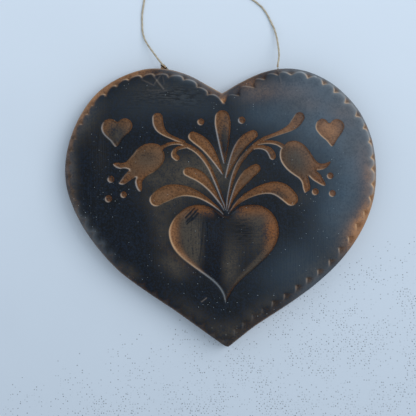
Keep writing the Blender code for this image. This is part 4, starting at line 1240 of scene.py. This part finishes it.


# pale painted board: matt, a little mottled, with dark crumbs of wax up to 0.5 mm wide, and a painted
# fall-off of light: lighter far off, darker near
def floorMaterial():
    made, tree = newMaterial("palePaintedBoard")
    place = addNode(tree, "TexCoord", output="Object")
    parts = addNode(tree, "SeparateXYZ", [place]).node.outputs
    mottle = addNode(tree, "TexNoise", {"Vector": place, "Scale": 30.0, "Detail": 4.0})
    # painted fall-off of light: lighter towards the far side, darker near
    drift = addNode(tree, "Math", [mottle, 0.03, parts["Y"]], operation="MULTIPLY_ADD")
    share = addNode(tree, "MapRange", [drift, -0.065, 0.095])
    near, distant = studio["floorNearShaded"], studio["floorFarLit"]
    colour = addNode(tree, "Mix", [share, near, distant], data_type="RGBA")
    # the crumbs lie in drifts below the heart, and more to its right than to its left
    side = addNode(tree, "Math", [parts["Y"], -2.6, parts["X"]], operation="MULTIPLY_ADD")
    area = addNode(tree, "MapRange", [side, 0.085, 0.19, 0.0, 1.2])
    away = addNode(tree, "VectorMath", [place], operation="LENGTH")
    close = addNode(tree, "MapRange", [away, 0.16, 0.11])
    drifts = addNode(tree, "TexNoise", {"Vector": place, "Scale": 70.0, "Detail": 2.0})
    drifts = addNode(tree, "MapRange", [drifts, 0.40, 0.62, 0.2, 1.2])
    for factor in (close, drifts):
        area = addNode(tree, "Math", [area, factor], operation="MULTIPLY")
    crumb = addSpecks(tree, place, 0.9, area, 0.30, 0.12, 1.9, voronoi_dimensions="2D")
    colour = addNode(tree, "Mix", [crumb, colour, studio["crumbs"]], data_type="RGBA")
    shader = addNode(tree, "BsdfPrincipled", {"Base Color": colour, "Roughness": 0.9})
    addNode(tree, "OutputMaterial", {"Surface": shader})
    return made


bpy.ops.object.select_all(action="DESELECT")
bpy.ops.mesh.primitive_plane_add(size=3.0, location=(0, 0, 0))
floor = bpy.context.object
floor.name = "paleFloor"
floor.data.materials.append(floorMaterial())

for name, (place, size, power, colour) in studio["lamps"].items():
    bpy.ops.object.light_add(type="AREA", location=place)
    lamp = bpy.context.object
    lamp.name = name
    lamp.data.shape = "SQUARE"
    lamp.data.size = size
    lamp.data.energy = power
    lamp.data.color = colour
    lamp.rotation_euler = (-Vector(place)).to_track_quat("-Z", "Y").to_euler()

world = bpy.data.worlds.new("softRoom")
world.use_nodes = True
bpy.context.scene.world = world
background = world.node_tree.nodes["Background"]
background.inputs["Color"].default_value = (*studio["worldColour"], 1)
background.inputs["Strength"].default_value = studio["worldStrength"]
bpy.context.scene.view_settings.view_transform = "Standard"
print("floor and lights placed")
